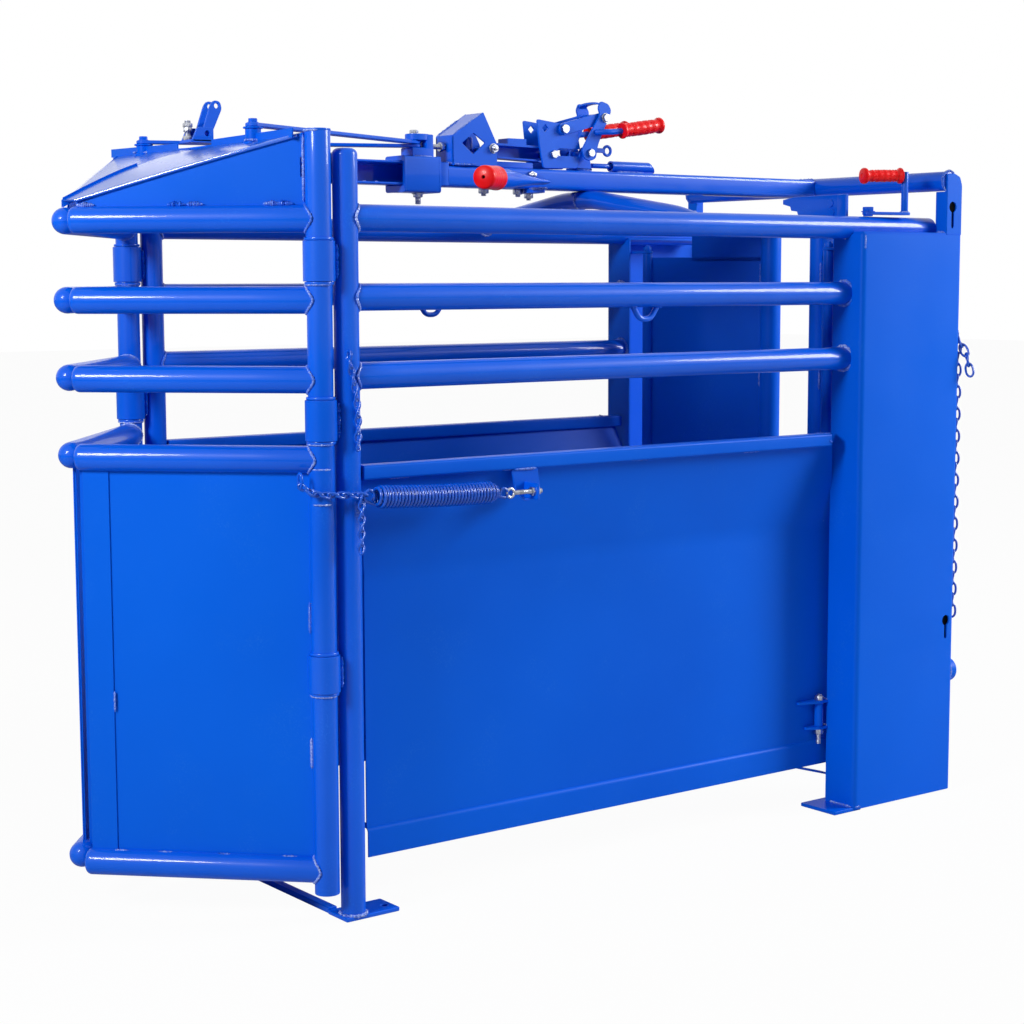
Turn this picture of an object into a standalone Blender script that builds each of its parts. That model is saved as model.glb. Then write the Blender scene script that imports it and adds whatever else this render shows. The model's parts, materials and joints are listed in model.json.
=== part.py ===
"""Roping chute: a free-standing welded steel chute with two spring-opened front doors, an overhead
release mechanism and a two-leaf tail gate.

Length runs along Y with the release doors at -Y, height along +Z, and the near side is +X. Every size is in
metres. Positions are written from the frame posts (y = 0) and the floor (z = 0); the ORIGIN empty moves the
whole chute so that its box is centred over the world origin.
"""

import math

import bmesh
import bpy
from mathutils import Matrix, Vector

# Where the frame posts stand when the box is centred on the world origin.
POST_LINE_Y = -0.6387

# Tubes and walls.
RAIL_R = 0.0254
POST_R = 0.0238
GAP = 0.0004
SHEET = 0.003
PLATE = 0.005
FOOT_T = 0.008

# The side frames.
HALF = 0.389
POST_TOP = 1.4615
TOP_RAIL_Z = 1.3345
SECOND_RAIL_Z = 1.1875
THIRD_RAIL_Z = 1.041
HOUSING_FRONT = 1.331
HOUSING_LONG = 0.329
HOUSING_REAR = HOUSING_FRONT + HOUSING_LONG
HOUSING_OUT = HALF + 0.055
EAR_LONG = 0.089
EAR_FRONT = HOUSING_REAR - EAR_LONG
PANEL_IN = HALF - 0.059
PANEL_REAR = HOUSING_FRONT - 0.098
RAIL_SEAT = 0.0008

# The release doors.
HINGE_Y = -0.058
DOOR_RAILS = (1.332, 1.183, 1.036, 0.888, 0.104)
NEAR_DIR = Vector((-0.7071, -0.7071, 0.0))
NEAR_REACH = 0.474
FAR_DIR = Vector((0.7732, -0.6342, 0.0))
FAR_REACH = 0.508
HOOD_TIP = {1: 0.4617, -1: 0.4930}
COLLARS = ((1.2170, 1.2916), (0.9227, 0.9988), (0.4485, 0.5192))

# The overhead works.
SPINE_W = 0.0635
SPINE_LOW = 1.418
SPINE_TOP = 1.4625
CROSSBAR_Y = HOUSING_REAR - 0.040
CROSSBAR_Z = 1.4435
CROSSBAR_R = 0.0225
BOW_Y = 0.880
BOSS = (0.2237, -0.0968)
PIN_Y = 0.423
LINK_Z = {1: 1.5062, -1: 1.4985}
LINK_T = 0.0070
SEAR_Y = 0.805
HANDLE_PIVOT = (0.874, 1.5015)
HANDLE_BOLT = (0.917, 1.581)
TOGGLE_PIN = (0.805, 1.552)
CAM_IN = 0.0225
CAM_OUT = 0.0275
TOGGLE_IN = CAM_OUT + 0.0012
TOGGLE_OUT = TOGGLE_IN + 0.0055
LEVER_PIVOT_Y = 0.730

# The tail gate.
GATE_LUGS = (0.1705, 0.230, 1.285)
LUG_T = 0.006
GATE_PIVOT = (HALF - 0.074, HOUSING_FRONT + 0.024)
GATE_EDGE = (GATE_PIVOT[0] - 0.230, GATE_PIVOT[1] + 0.210)
CRANK_PIVOT = (HALF + 0.003, HOUSING_FRONT + 0.069)

# The door springs and their chains.
CHAIN_EYE = (HALF + 0.007, -0.118)
CHAIN_Z = 0.8655
CHAIN_WIRE = 0.0035
SPRING_X = HALF + 0.046
SPRING_CURLS = 34
SPRING_FROM = (0.0315, 0.816)
SPRING_TO = (0.314, 0.807)
SPRING_MEAN_R = 0.0195
SPRING_WIRE_R = 0.0025

for old in list(bpy.data.objects):
    bpy.data.objects.remove(old, do_unlink=True)

SCENE = bpy.context.scene
CHUTE = bpy.data.collections.new("roping_chute")
HELPERS = bpy.data.collections.new("helpers")
SCENE.collection.children.link(CHUTE)
SCENE.collection.children.link(HELPERS)
HELPERS.hide_render = True


def material(name, colour, metallic, roughness):
    """A Principled material of one colour."""
    made = bpy.data.materials.new(name)
    made.use_nodes = True
    shader = made.node_tree.nodes["Principled BSDF"]
    shader.inputs["Base Color"].default_value = (*colour, 1.0)
    shader.inputs["Metallic"].default_value = metallic
    shader.inputs["Roughness"].default_value = roughness
    return made


BLUE = material("blue_paint", (0.004, 0.085, 0.62), 0.0, 0.35)
RED = material("red_grip", (0.62, 0.01, 0.02), 0.0, 0.45)
ZINC = material("bright_zinc", (0.62, 0.64, 0.66), 1.0, 0.35)


def empty(name, at, parent=None):
    """An empty on a joint's axis. Its pieces are its children."""
    made = bpy.data.objects.new(name, None)
    made.empty_display_size = 0.05
    made.parent = parent
    made.location = Vector(at) - (PLACES[parent.name] if parent else Vector())
    PLACES[name] = Vector(at)
    CHUTE.objects.link(made)
    return made


PLACES = {}
ORIGIN = bpy.data.objects.new("ORIGIN", None)
ORIGIN.location = (0.0, POST_LINE_Y, 0.0)
CHUTE.objects.link(ORIGIN)
PLACES["ORIGIN"] = Vector()


def from_bmesh(bm, smooth_from=0):
    """A helper object of this bmesh, its faces facing out. Faces of few sides are smooth when asked."""
    bmesh.ops.remove_doubles(bm, verts=bm.verts, dist=1e-6)
    bmesh.ops.recalc_face_normals(bm, faces=bm.faces)
    mesh = bpy.data.meshes.new("piece")
    bm.to_mesh(mesh)
    bm.free()
    for polygon in mesh.polygons:
        polygon.use_smooth = smooth_from > 0 and len(polygon.vertices) == 4
    made = bpy.data.objects.new("piece", mesh)
    HELPERS.objects.link(made)
    made.hide_render = True
    made.display_type = "WIRE"
    return made


def block(low, high):
    """A box between two corners."""
    bm = bmesh.new()
    bmesh.ops.create_cube(bm, size=1.0)
    low, high = Vector(low), Vector(high)
    for vert in bm.verts:
        vert.co = Vector((low[i] + (vert.co[i] + 0.5) * (high[i] - low[i]) for i in range(3)))
    return from_bmesh(bm)


def bar(start, end, radius, sides=16, dome=0.0, round_edge=0.0):
    """A round bar between two points. The end may be domed by so much, or have a rounded rim."""
    start, end = Vector(start), Vector(end)
    along = end - start
    length = along.length
    if not dome and not round_edge:
        bm = bmesh.new()
        bmesh.ops.create_cone(bm, cap_ends=True, segments=sides, radius1=radius, radius2=radius, depth=length)
        turn = Vector((0, 0, 1)).rotation_difference(along.normalized()).to_matrix().to_4x4()
        bmesh.ops.transform(bm, matrix=Matrix.Translation((start + end) / 2) @ turn, verts=bm.verts)
        return from_bmesh(bm, smooth_from=1)
    profile = [(0.0, 0.0), (radius, 0.0)]
    if dome:
        for i in range(5):
            turn = i * math.pi / 10
            profile.append((radius * math.cos(turn), length + dome * math.sin(turn)))
        profile.append((0.0, length + dome))
    else:
        for i in range(4):
            turn = i * math.pi / 6
            out = radius - round_edge + round_edge * math.cos(turn)
            profile.append((out, length - round_edge + round_edge * math.sin(turn)))
        profile.append((0.0, length))
    return turned(profile, start, along, sides)


def turned(profile, at, along, sides=16):
    """A solid of revolution: profile is (radius, height) from the axis' foot to its head, turned by a Screw."""
    mesh = bpy.data.meshes.new("profile")
    edges = [(i, i + 1) for i in range(len(profile) - 1)]
    mesh.from_pydata([(radius, 0.0, height) for radius, height in profile], edges, [])
    drawn = bpy.data.objects.new("profile", mesh)
    screw = drawn.modifiers.new("Turn", "SCREW")
    screw.steps = screw.render_steps = sides
    screw.use_merge_vertices = True
    screw.merge_threshold = 0.00001
    bm = evaluated(drawn)
    turn = Vector((0, 0, 1)).rotation_difference(Vector(along).normalized()).to_matrix().to_4x4()
    bmesh.ops.transform(bm, matrix=Matrix.Translation(Vector(at)) @ turn, verts=bm.verts)
    return from_bmesh(bm, smooth_from=1)


def evaluated(drawn):
    """A bmesh of an object as its modifiers or its curve settings make it. The object is removed."""
    HELPERS.objects.link(drawn)
    graph = bpy.context.evaluated_depsgraph_get()
    mesh = bpy.data.meshes.new_from_object(drawn.evaluated_get(graph))
    bpy.data.objects.remove(drawn)
    bm = bmesh.new()
    bm.from_mesh(mesh)
    bpy.data.meshes.remove(mesh)
    bmesh.ops.remove_doubles(bm, verts=bm.verts, dist=1e-6)
    return bm


def slab(outline, thickness):
    """A plate of this outline in space: a filled 2D curve, extruded along the outline's normal."""
    outline = [Vector(p) for p in outline]
    normal = sum((a.cross(b) for a, b in zip(outline, outline[1:] + outline[:1])), Vector()).normalized()
    across = (outline[1] - outline[0]).normalized()
    up = normal.cross(across)
    curve = bpy.data.curves.new("outline", "CURVE")
    curve.dimensions = "2D"
    curve.fill_mode = "BOTH"
    curve.extrude = abs(thickness) / 2
    spline = curve.splines.new("POLY")
    spline.points.add(len(outline) - 1)
    for point, place in zip(spline.points, outline):
        from_first = place - outline[0]
        point.co = (from_first.dot(across), from_first.dot(up), 0.0, 1.0)
    spline.use_cyclic_u = True
    bm = evaluated(bpy.data.objects.new("outline", curve))
    place = Matrix((across, up, normal)).transposed().to_4x4()
    place.translation = outline[0] + normal * thickness / 2
    bmesh.ops.transform(bm, matrix=place, verts=bm.verts)
    return from_bmesh(bm)


def rectangle(low_x, low_y, high_x, high_y):
    """A rectangle's outline, anticlockwise."""
    return [(low_x, low_y), (high_x, low_y), (high_x, high_y), (low_x, high_y)]


def side_plate(outline, low_x, high_x):
    """A plate standing along Y, between two x, of this (y, z) outline."""
    return slab([(low_x, y, z) for y, z in outline], high_x - low_x) if ccw(outline) else slab(
        [(low_x, y, z) for y, z in reversed(outline)], high_x - low_x
    )


def ccw(outline):
    """Whether this outline runs anticlockwise."""
    pairs = zip(outline, outline[1:] + outline[:1])
    return sum(a[0] * b[1] - b[0] * a[1] for a, b in pairs) > 0


def floor_plate(outline, low_z, high_z):
    """A level plate between two z, of this (x, y) outline."""
    outline = outline if ccw(outline) else list(reversed(outline))
    return slab([(x, y, low_z) for x, y in outline], high_z - low_z)


def stadium(a, b, radius, steps=6):
    """The outline of a bar with round ends from a to b, in a plane."""
    a, b = Vector(a), Vector(b)
    along = math.atan2(b.y - a.y, b.x - a.x)
    points = []
    for centre, start in ((b, along - math.pi / 2), (a, along + math.pi / 2)):
        for i in range(steps + 1):
            turn = start + math.pi * i / steps
            points.append((centre.x + radius * math.cos(turn), centre.y + radius * math.sin(turn)))
    return points


def swept(points, radius, sides=8):
    """A round rod along a path."""
    curve = bpy.data.curves.new("path", "CURVE")
    curve.dimensions = "3D"
    curve.bevel_depth = radius
    curve.bevel_resolution = (sides - 4) // 2
    curve.use_fill_caps = True
    spline = curve.splines.new("POLY")
    spline.points.add(len(points) - 1)
    for point, place in zip(spline.points, points):
        point.co = (*place, 1.0)
    return from_bmesh(evaluated(bpy.data.objects.new("path", curve)), smooth_from=1)


def mirrored(pieces, side):
    """The same helpers for the near side (1), or their mirror images for the far side (-1)."""
    if side > 0:
        return pieces
    for piece in pieces:
        for vert in piece.data.vertices:
            vert.co.x = -vert.co.x
        piece.data.flip_normals()
    return pieces


def node(name, parent, paint, pieces, cuts=()):
    """One named part: its pieces joined, its cuts taken out, under the empty that it moves with."""
    made = pieces[0]
    HELPERS.objects.unlink(made)
    CHUTE.objects.link(made)
    made.name = name
    made.hide_render = False
    made.display_type = "TEXTURED"
    made.data.name = name
    made.data.materials.clear()
    made.data.materials.append(paint)
    for operation, others in (("UNION", pieces[1:]), ("DIFFERENCE", cuts)):
        for i, other in enumerate(others):
            other.name = f"{name}_{operation.lower()}_{i}"
            other.parent = ORIGIN
            change = made.modifiers.new(operation.title(), "BOOLEAN")
            change.operation = operation
            change.solver = "EXACT"
            change.object = other
    made.parent = parent
    made.location = -PLACES[parent.name]
    return made


def side_name(side):
    return "near" if side > 0 else "far"


def frame_post(side):
    """A frame post with its domed top, its three hinge collars on their weld beads, and its foot."""
    pieces = [bar((HALF, 0, 0.004), (HALF, 0, POST_TOP - 0.010), POST_R, dome=0.010)]
    cuts = []
    for low, high in COLLARS:
        pieces.append(bar((HALF, HINGE_Y, low), (HALF, HINGE_Y, high), 0.0300))
        pieces.append(block((HALF - 0.009, -0.030, low + 0.004), (HALF + 0.009, -0.0205, high - 0.004)))
    pieces.append(
        floor_plate(rectangle(HALF - 0.046, -0.030, HALF + 0.024, 0.092), 0.0, FOOT_T)
    )
    cuts.append(bar((HALF - 0.005, 0.0735, -0.01), (HALF - 0.005, 0.0735, 0.02), 0.007, sides=10))
    cuts.append(bar((HALF, HINGE_Y, 0.40), (HALF, HINGE_Y, 1.40), POST_R + GAP, sides=32))
    name = f"{side_name(side)}_frame_post"
    node(name, ORIGIN, BLUE, mirrored(pieces, side), mirrored(cuts, side))


def side_rail(side, level, z, end, hook_y):
    """A side rail, its front end coped to the frame post. The second one carries a U hook below it."""
    pieces = [bar((HALF, 0.010, z), (HALF, end, z), RAIL_R)]
    cuts = [bar((HALF, 0, z - 0.05), (HALF, 0, z + 0.05), POST_R + GAP, sides=24)]
    if hook_y:
        hook = [
            (HALF, hook_y - 0.030, z - 0.022),
            (HALF, hook_y - 0.030, z - 0.040),
            (HALF, hook_y - 0.022, z - 0.053),
            (HALF, hook_y + 0.022, z - 0.053),
            (HALF, hook_y + 0.030, z - 0.040),
            (HALF, hook_y + 0.030, z - 0.022),
        ]
        pieces.append(swept(hook, 0.004, sides=6))
    name = f"{side_name(side)}_{level}_rail"
    node(name, ORIGIN, BLUE, mirrored(pieces, side), mirrored(cuts, side))


def side_panel(side):
    """The bent side sheet with the square rail along its top and the fold along its foot."""
    top_x = HALF - 0.006
    band = slab(
        [
            (top_x, 0.0275, 0.852),
            (top_x, HOUSING_FRONT - 0.041, 0.852),
            (PANEL_IN, PANEL_REAR, 0.6535),
            (PANEL_IN, 0.069, 0.6535),
        ],
        SHEET,
    )
    wall = block((PANEL_IN - 0.0002, 0.069, 0.150), (PANEL_IN + SHEET, PANEL_REAR, 0.6555))
    rail = block((HALF - 0.0190, 0.0242, 0.845), (HALF + 0.0190, HOUSING_FRONT - 0.029, 0.873))
    soften = rail.modifiers.new("Soften", "BEVEL")
    soften.width = 0.004
    soften.segments = 2
    fold = block((PANEL_IN - 0.028, 0.069, 0.148), (PANEL_IN + 0.008, PANEL_REAR + 0.021, 0.153))
    lip = block((PANEL_IN + 0.003, 0.069, 0.093), (PANEL_IN + 0.008, PANEL_REAR + 0.021, 0.1525))
    strap = slab(
        [
            (PANEL_IN - 0.016, PANEL_REAR + 0.013, 0.094),
            (PANEL_IN + 0.008, PANEL_REAR + 0.013, 0.094),
            (PANEL_IN + 0.008, HOUSING_FRONT - 0.0015, 0.070),
            (PANEL_IN - 0.016, HOUSING_FRONT - 0.0015, 0.070),
        ],
        PLATE,
    )
    mitre = slab(
        [
            (HALF - 0.03, HOUSING_FRONT - 0.035, 0.88),
            (HALF - 0.03, HOUSING_FRONT - 0.011, 0.88),
            (HALF - 0.03, HOUSING_FRONT - 0.011, 0.83),
            (HALF - 0.03, HOUSING_FRONT - 0.047, 0.83),
        ],
        -0.06,
    )
    name = f"{side_name(side)}_side_panel"
    node(name, ORIGIN, BLUE, mirrored([wall, band, rail, lip, fold, strap], side), mirrored([mitre], side))


def rear_housing(side):
    """The rear corner housing: a tall folded channel that takes the open gate leaf, with its ear and foot."""
    ear = [
        (HOUSING_FRONT, 0.004),
        (HOUSING_REAR, 0.004),
        (HOUSING_REAR, 1.435),
        (HOUSING_REAR - 0.0075, 1.4535),
        (HOUSING_REAR - 0.0250, 1.4605),
        (EAR_FRONT, 1.4605),
        (EAR_FRONT, 1.325),
        (HOUSING_FRONT, 1.325),
    ]
    web = side_plate(ear, HOUSING_OUT - PLATE, HOUSING_OUT)
    flange_in = HALF - 0.0275
    front = block((flange_in, HOUSING_FRONT, 0.004), (HOUSING_OUT - 0.001, HOUSING_FRONT + PLATE, 1.325))
    top = block((flange_in, HOUSING_FRONT + 0.001, 1.320), (HOUSING_OUT - 0.001, EAR_FRONT + 0.004, 1.325))
    rear = block((HALF + 0.021, HOUSING_REAR - PLATE, 0.004), (HOUSING_OUT - 0.001, HOUSING_REAR - 0.0005, 1.30))
    ear_front = block((HALF + 0.002, EAR_FRONT, 1.321), (HOUSING_OUT - 0.001, EAR_FRONT + PLATE, 1.4600))
    foot = floor_plate(rectangle(HALF - 0.056, HOUSING_FRONT - 0.100, HALF + 0.080, HOUSING_FRONT + 0.027), 0.0, FOOT_T)
    stub_y = HOUSING_REAR - 0.030
    stub = bar((HOUSING_OUT - 0.0005, stub_y, 0.288), (HOUSING_OUT + 0.010, stub_y, 0.288), 0.028)
    pieces = [web, front, top, rear, ear_front, foot, stub]
    lug_root = (HALF - 0.017, HOUSING_FRONT + 0.021)
    for z in GATE_LUGS:
        pieces.append(floor_plate(stadium(GATE_PIVOT, lug_root, 0.014), z, z + LUG_T))
        low = (lug_root[0] - 0.008, HOUSING_FRONT + 0.0025, z + 0.0004)
        high = (lug_root[0] + 0.008, HOUSING_FRONT + 0.0340, z + LUG_T - 0.0004)
        pieces.append(block(low, high))
    cuts = [bar((HALF, 1.30, TOP_RAIL_Z), (HALF, EAR_FRONT - 0.0004, TOP_RAIL_Z), RAIL_R + GAP)]
    inside, outside = HOUSING_OUT - 0.014, HOUSING_OUT + 0.016
    for inset, high, low in ((0.0314, 1.3843, 1.3385), (0.0273, 0.4156, 0.3745)):
        y = HOUSING_REAR - inset
        cuts.append(bar((inside, y, high), (outside, y, high), 0.0095, sides=12))
        cuts.append(block((inside, y - 0.0035, low), (outside, y + 0.0035, high)))
    for z in GATE_LUGS:
        cuts.append(bar((*GATE_PIVOT, z - 0.01), (*GATE_PIVOT, z + 0.02), 0.0066, sides=12))
    name = f"{side_name(side)}_rear_housing"
    node(name, ORIGIN, BLUE, mirrored(pieces, side), mirrored(cuts, side))


def front_crossings():
    """The header channel over the doors' line and the flat strut across the floor."""
    inner = HALF - POST_R - GAP
    outer = block((-inner, -0.018, 1.4000), (inner, 0.022, 1.4520))
    hollow = block((-inner + 0.005, -0.013, 1.3900), (inner - 0.005, 0.017, 1.4470))
    node("front_header", ORIGIN, BLUE, [outer], [hollow])
    reach = HALF - 0.0465
    strut = block((-reach, -0.028, 0.0), (reach, -0.008, 0.012))
    node("front_strut", ORIGIN, BLUE, [strut])


def overhead_frame():
    """The slide rail, the spine tube, the bow under it and the crossbar behind."""
    rail = block((-0.0285, 0.0224, 1.4186), (0.0285, 0.4898, 1.4686))
    web = block((-0.0235, 0.010, 1.4236), (0.040, 0.50, 1.4636))
    node("slide_rail", ORIGIN, BLUE, [rail], [web])
    half = SPINE_W / 2
    end = CROSSBAR_Y - CROSSBAR_R - 0.0005
    tube = block((-half, 0.4902, SPINE_LOW), (half, end, SPINE_TOP))
    bore = block((-half + 0.004, 0.45, SPINE_LOW + 0.004), (half - 0.004, end - 0.007, SPINE_TOP - 0.004))
    node("spine_tube", ORIGIN, BLUE, [tube], [bore])
    reach = HOUSING_OUT - PLATE - GAP
    node("rear_crossbar", ORIGIN, BLUE, [bar((-reach, CROSSBAR_Y, CROSSBAR_Z), (reach, CROSSBAR_Y, CROSSBAR_Z), CROSSBAR_R)])
    foot, knee = (HALF, BOW_Y, TOP_RAIL_Z + 0.0035), (HALF - 0.059, BOW_Y, TOP_RAIL_Z + 0.0215)
    crown = (0.050, BOW_Y, 1.3975)
    half_path = [foot, knee, crown]
    path = [(-x, y, z) for x, y, z in half_path] + half_path[::-1]
    cuts = []
    for x in (HALF, -HALF):
        cuts.append(bar((x, BOW_Y - 0.08, TOP_RAIL_Z), (x, BOW_Y + 0.08, TOP_RAIL_Z), RAIL_R + GAP))
        ends = sorted((x + math.copysign(0.001, x), x + math.copysign(0.050, x)))
        cuts.append(block((ends[0], BOW_Y - 0.04, 1.30), (ends[1], BOW_Y + 0.04, 1.40)))
    node("bow_tube", ORIGIN, BLUE, [swept(path, 0.0200, sides=16)], cuts)


def door_works(side, empty_at, direction, reach):
    """One release door: its hinge post, three rails, sheeted lower panel and folded hood."""
    label = side_name(side)
    foot = Vector((side * HALF, HINGE_Y, 0.0))
    post = [turned(
        [(0, 0.058), (POST_R, 0.058), (POST_R, 1.488), (POST_R - 0.004, 1.4945), (0, 1.4952)],
        foot,
        (0, 0, 1),
    )]
    node(f"{label}_door_post", empty_at, BLUE, post)
    shaft = []
    for number, z in enumerate(DOOR_RAILS):
        start = foot + direction * 0.010 + Vector((0, 0, z))
        end = foot + direction * reach + Vector((0, 0, z))
        if side > 0:
            piece = bar(start, end, RAIL_R, round_edge=0.011)
        else:
            piece = bar(start, end, RAIL_R, dome=RAIL_R)
        shaft.append(piece)
    for number in range(3):
        z = DOOR_RAILS[number]
        cut = bar(foot + Vector((0, 0, z - 0.05)), foot + Vector((0, 0, z + 0.05)), POST_R + GAP, sides=24)
        node(f"{label}_door_rail_{number + 1}", empty_at, BLUE, [shaft[number]], [cut])
    across = direction.cross(Vector((0, 0, 1))) * side
    start = foot + direction * 0.030
    end = foot + direction * (reach - 0.012)
    sheet = slab(
        [
            start + across * -0.0015 + Vector((0, 0, 0.110)),
            end + across * -0.0015 + Vector((0, 0, 0.110)),
            end + across * -0.0015 + Vector((0, 0, 0.880)),
            start + across * -0.0015 + Vector((0, 0, 0.880)),
        ],
        SHEET,
    )
    edge = slab(
        [
            end + across * -0.012 + Vector((0, 0, 0.110)),
            end + across * -0.012 + Vector((0, 0, 0.880)),
            end + across * 0.012 + Vector((0, 0, 0.880)),
            end + across * 0.012 + Vector((0, 0, 0.110)),
        ],
        0.004,
    )
    cut = bar(foot + Vector((0, 0, 0.05)), foot + Vector((0, 0, 0.95)), POST_R + GAP, sides=24)
    node(f"{label}_door_panel", empty_at, BLUE, [shaft[3], shaft[4], sheet, edge], [cut])
    door_hood(side, empty_at)


def door_hood(side, empty_at):
    """A door's folded hood: the upright side plate, the sloping top sheet to the split, and the link boss."""
    low = 1.3540
    way = NEAR_DIR if side > 0 else Vector((-FAR_DIR.x, FAR_DIR.y, 0.0))
    tip, back = HOOD_TIP[side], 0.0410

    def along(reach, height):
        return Vector((HALF, HINGE_Y, height)) + way * reach

    upright = [along(tip, low), along(tip, 1.3715), along(back, 1.4855), along(back, low)]
    side_sheet = slab(upright, SHEET)
    bm = bmesh.new()
    ring = [
        along(tip, 1.3700),
        along((tip + back) / 2, 1.4285),
        along(back, 1.4840),
        (0.1800, -0.0860, 1.4815),
        (0.0016, -0.1100, 1.4760),
        (0.0016, -0.1650, 1.4560),
        (0.0016, -0.2830, 1.4170),
        (0.0016, -0.3830, 1.3715),
    ]
    top = [bm.verts.new(p) for p in ring]
    under = [bm.verts.new((p[0], p[1], p[2] - SHEET)) for p in ring]
    fan = ((0, 1, 6, 7), (1, 5, 6), (1, 4, 5), (1, 3, 4), (1, 2, 3))
    for face in fan:
        bm.faces.new([top[i] for i in face])
        bm.faces.new([under[i] for i in reversed(face)])
    for i in range(len(ring)):
        j = (i + 1) % len(ring)
        bm.faces.new((top[i], under[i], under[j], top[j]))
    cover = from_bmesh(bm)
    flange = slab(
        [
            (HALF - 0.029, -0.0870, 1.4800),
            (HALF - 0.029, -0.0870, 1.4955),
            (0.0700, -0.1000, 1.4900),
            (0.0700, -0.1000, 1.4740),
        ],
        -SHEET,
    )
    boss = turned(
        [(0, 1.452), (0.019, 1.452), (0.019, LINK_Z[side] - GAP), (0, LINK_Z[side] - GAP)],
        (*BOSS, 0),
        (0, 0, 1),
    )
    cut = bar((HALF, HINGE_Y, 1.33), (HALF, HINGE_Y, 1.52), POST_R + GAP, sides=24)
    rail_cut = bar(
        Vector((HALF, HINGE_Y, DOOR_RAILS[0])),
        Vector((HALF, HINGE_Y, DOOR_RAILS[0])) + way * 0.6,
        RAIL_R + GAP,
    )
    name = f"{side_name(side)}_door_hood"
    pieces = mirrored([cover, side_sheet, flange, boss], side)
    node(name, empty_at, BLUE, pieces, mirrored([cut, rail_cut], side))


def door_chain(side, empty_at):
    """The short chain from the eye under the fourth door rail to the spring."""
    path = [
        (*CHAIN_EYE, CHAIN_Z),
        (HALF + 0.0315, -0.0880, 0.8425),
        (HALF + 0.0395, -0.0400, 0.8330),
        (SPRING_X, -0.0060, 0.8265),
    ]
    pieces = mirrored([swept(path, CHAIN_WIRE, sides=6)], side)
    node(f"{side_name(side)}_chain", empty_at, BLUE, pieces)


def door_spring(side):
    """A long extension spring: its hooks and curls are one rod. The least gap to itself is printed."""
    (y0, z0), (y1, z1) = SPRING_FROM, SPRING_TO
    points = [(SPRING_X, y0 - 0.030, z0 + 0.0085), (SPRING_X, y0 - 0.016, z0 + 0.003)]
    coil = []
    steps = SPRING_CURLS * 8
    for i in range(steps + 1):
        part = i / steps
        turn = 2 * math.pi * i / 8
        x = SPRING_X + SPRING_MEAN_R * math.sin(turn)
        z = z0 + (z1 - z0) * part - SPRING_MEAN_R * math.cos(turn)
        coil.append((x, y0 + (y1 - y0) * part, z))
    points += [(SPRING_X, y0 - 0.006, z0 - SPRING_MEAN_R * 0.6)] + coil
    points += [(SPRING_X, y1 + 0.006, z1 - SPRING_MEAN_R * 0.6)]
    points += [(SPRING_X, y1 + 0.016, z1 - 0.003), (SPRING_X, y1 + 0.026, z1 - 0.004)]
    pitch = (y1 - y0) / SPRING_CURLS
    if side > 0:
        print(f"spring: least gap between curls {1000 * (pitch - 2 * SPRING_WIRE_R):.2f} mm")
    pieces = mirrored([swept(points, SPRING_WIRE_R, sides=6)], side)
    node(f"{side_name(side)}_spring", ORIGIN, BLUE, pieces)


def spring_bracket(side):
    """The gusset under the panel's rail with the eyebolt that holds the spring."""
    gusset = side_plate(
        [(0.373, 0.8445), (0.440, 0.8445), (0.446, 0.800), (0.418, 0.779), (0.405, 0.780), (0.385, 0.800)],
        HALF + 0.0110,
        HALF + 0.0160,
    )
    tab = block((HALF + 0.011, 0.405, 0.786), (HALF + 0.060, 0.410, 0.819))
    bolt = bar((SPRING_X, 0.3435, 0.8025), (SPRING_X, 0.423, 0.8025), 0.005, sides=10)
    nut = bar((SPRING_X, 0.4095, 0.8025), (SPRING_X, 0.4175, 0.8025), 0.010, sides=6)
    pieces = mirrored([gusset, tab, bolt, nut], side)
    node(f"{side_name(side)}_spring_bracket", ORIGIN, BLUE, pieces)


def hanging_chains():
    """The loose chains on the near frame post and behind the near housing."""
    hang = ((0.0275, -0.013, 1.0725), (0.0285, -0.003, 1.026), (0.0295, 0.003, 0.977), (0.0285, 0.002, 0.905))
    path = [(HALF + x, y, z) for x, y, z in hang]
    node("post_chain", ORIGIN, BLUE, [swept(path, CHAIN_WIRE, sides=6)])
    drop = ((-0.011, 0.0045, 1.097), (-0.014, 0.012, 1.05), (-0.016, 0.014, 0.70), (-0.014, 0.012, 0.42))
    loose = ((-0.012, 0.0070, 1.085), (0.009, 0.018, 1.040), (0.020, 0.020, 0.995))
    pieces = []
    for line in (drop, loose):
        pieces.append(swept([(HOUSING_OUT + x, HOUSING_REAR + y, z) for x, y, z in line], 0.0040, sides=6))
    node("rear_chain", ORIGIN, BLUE, pieces)


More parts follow.
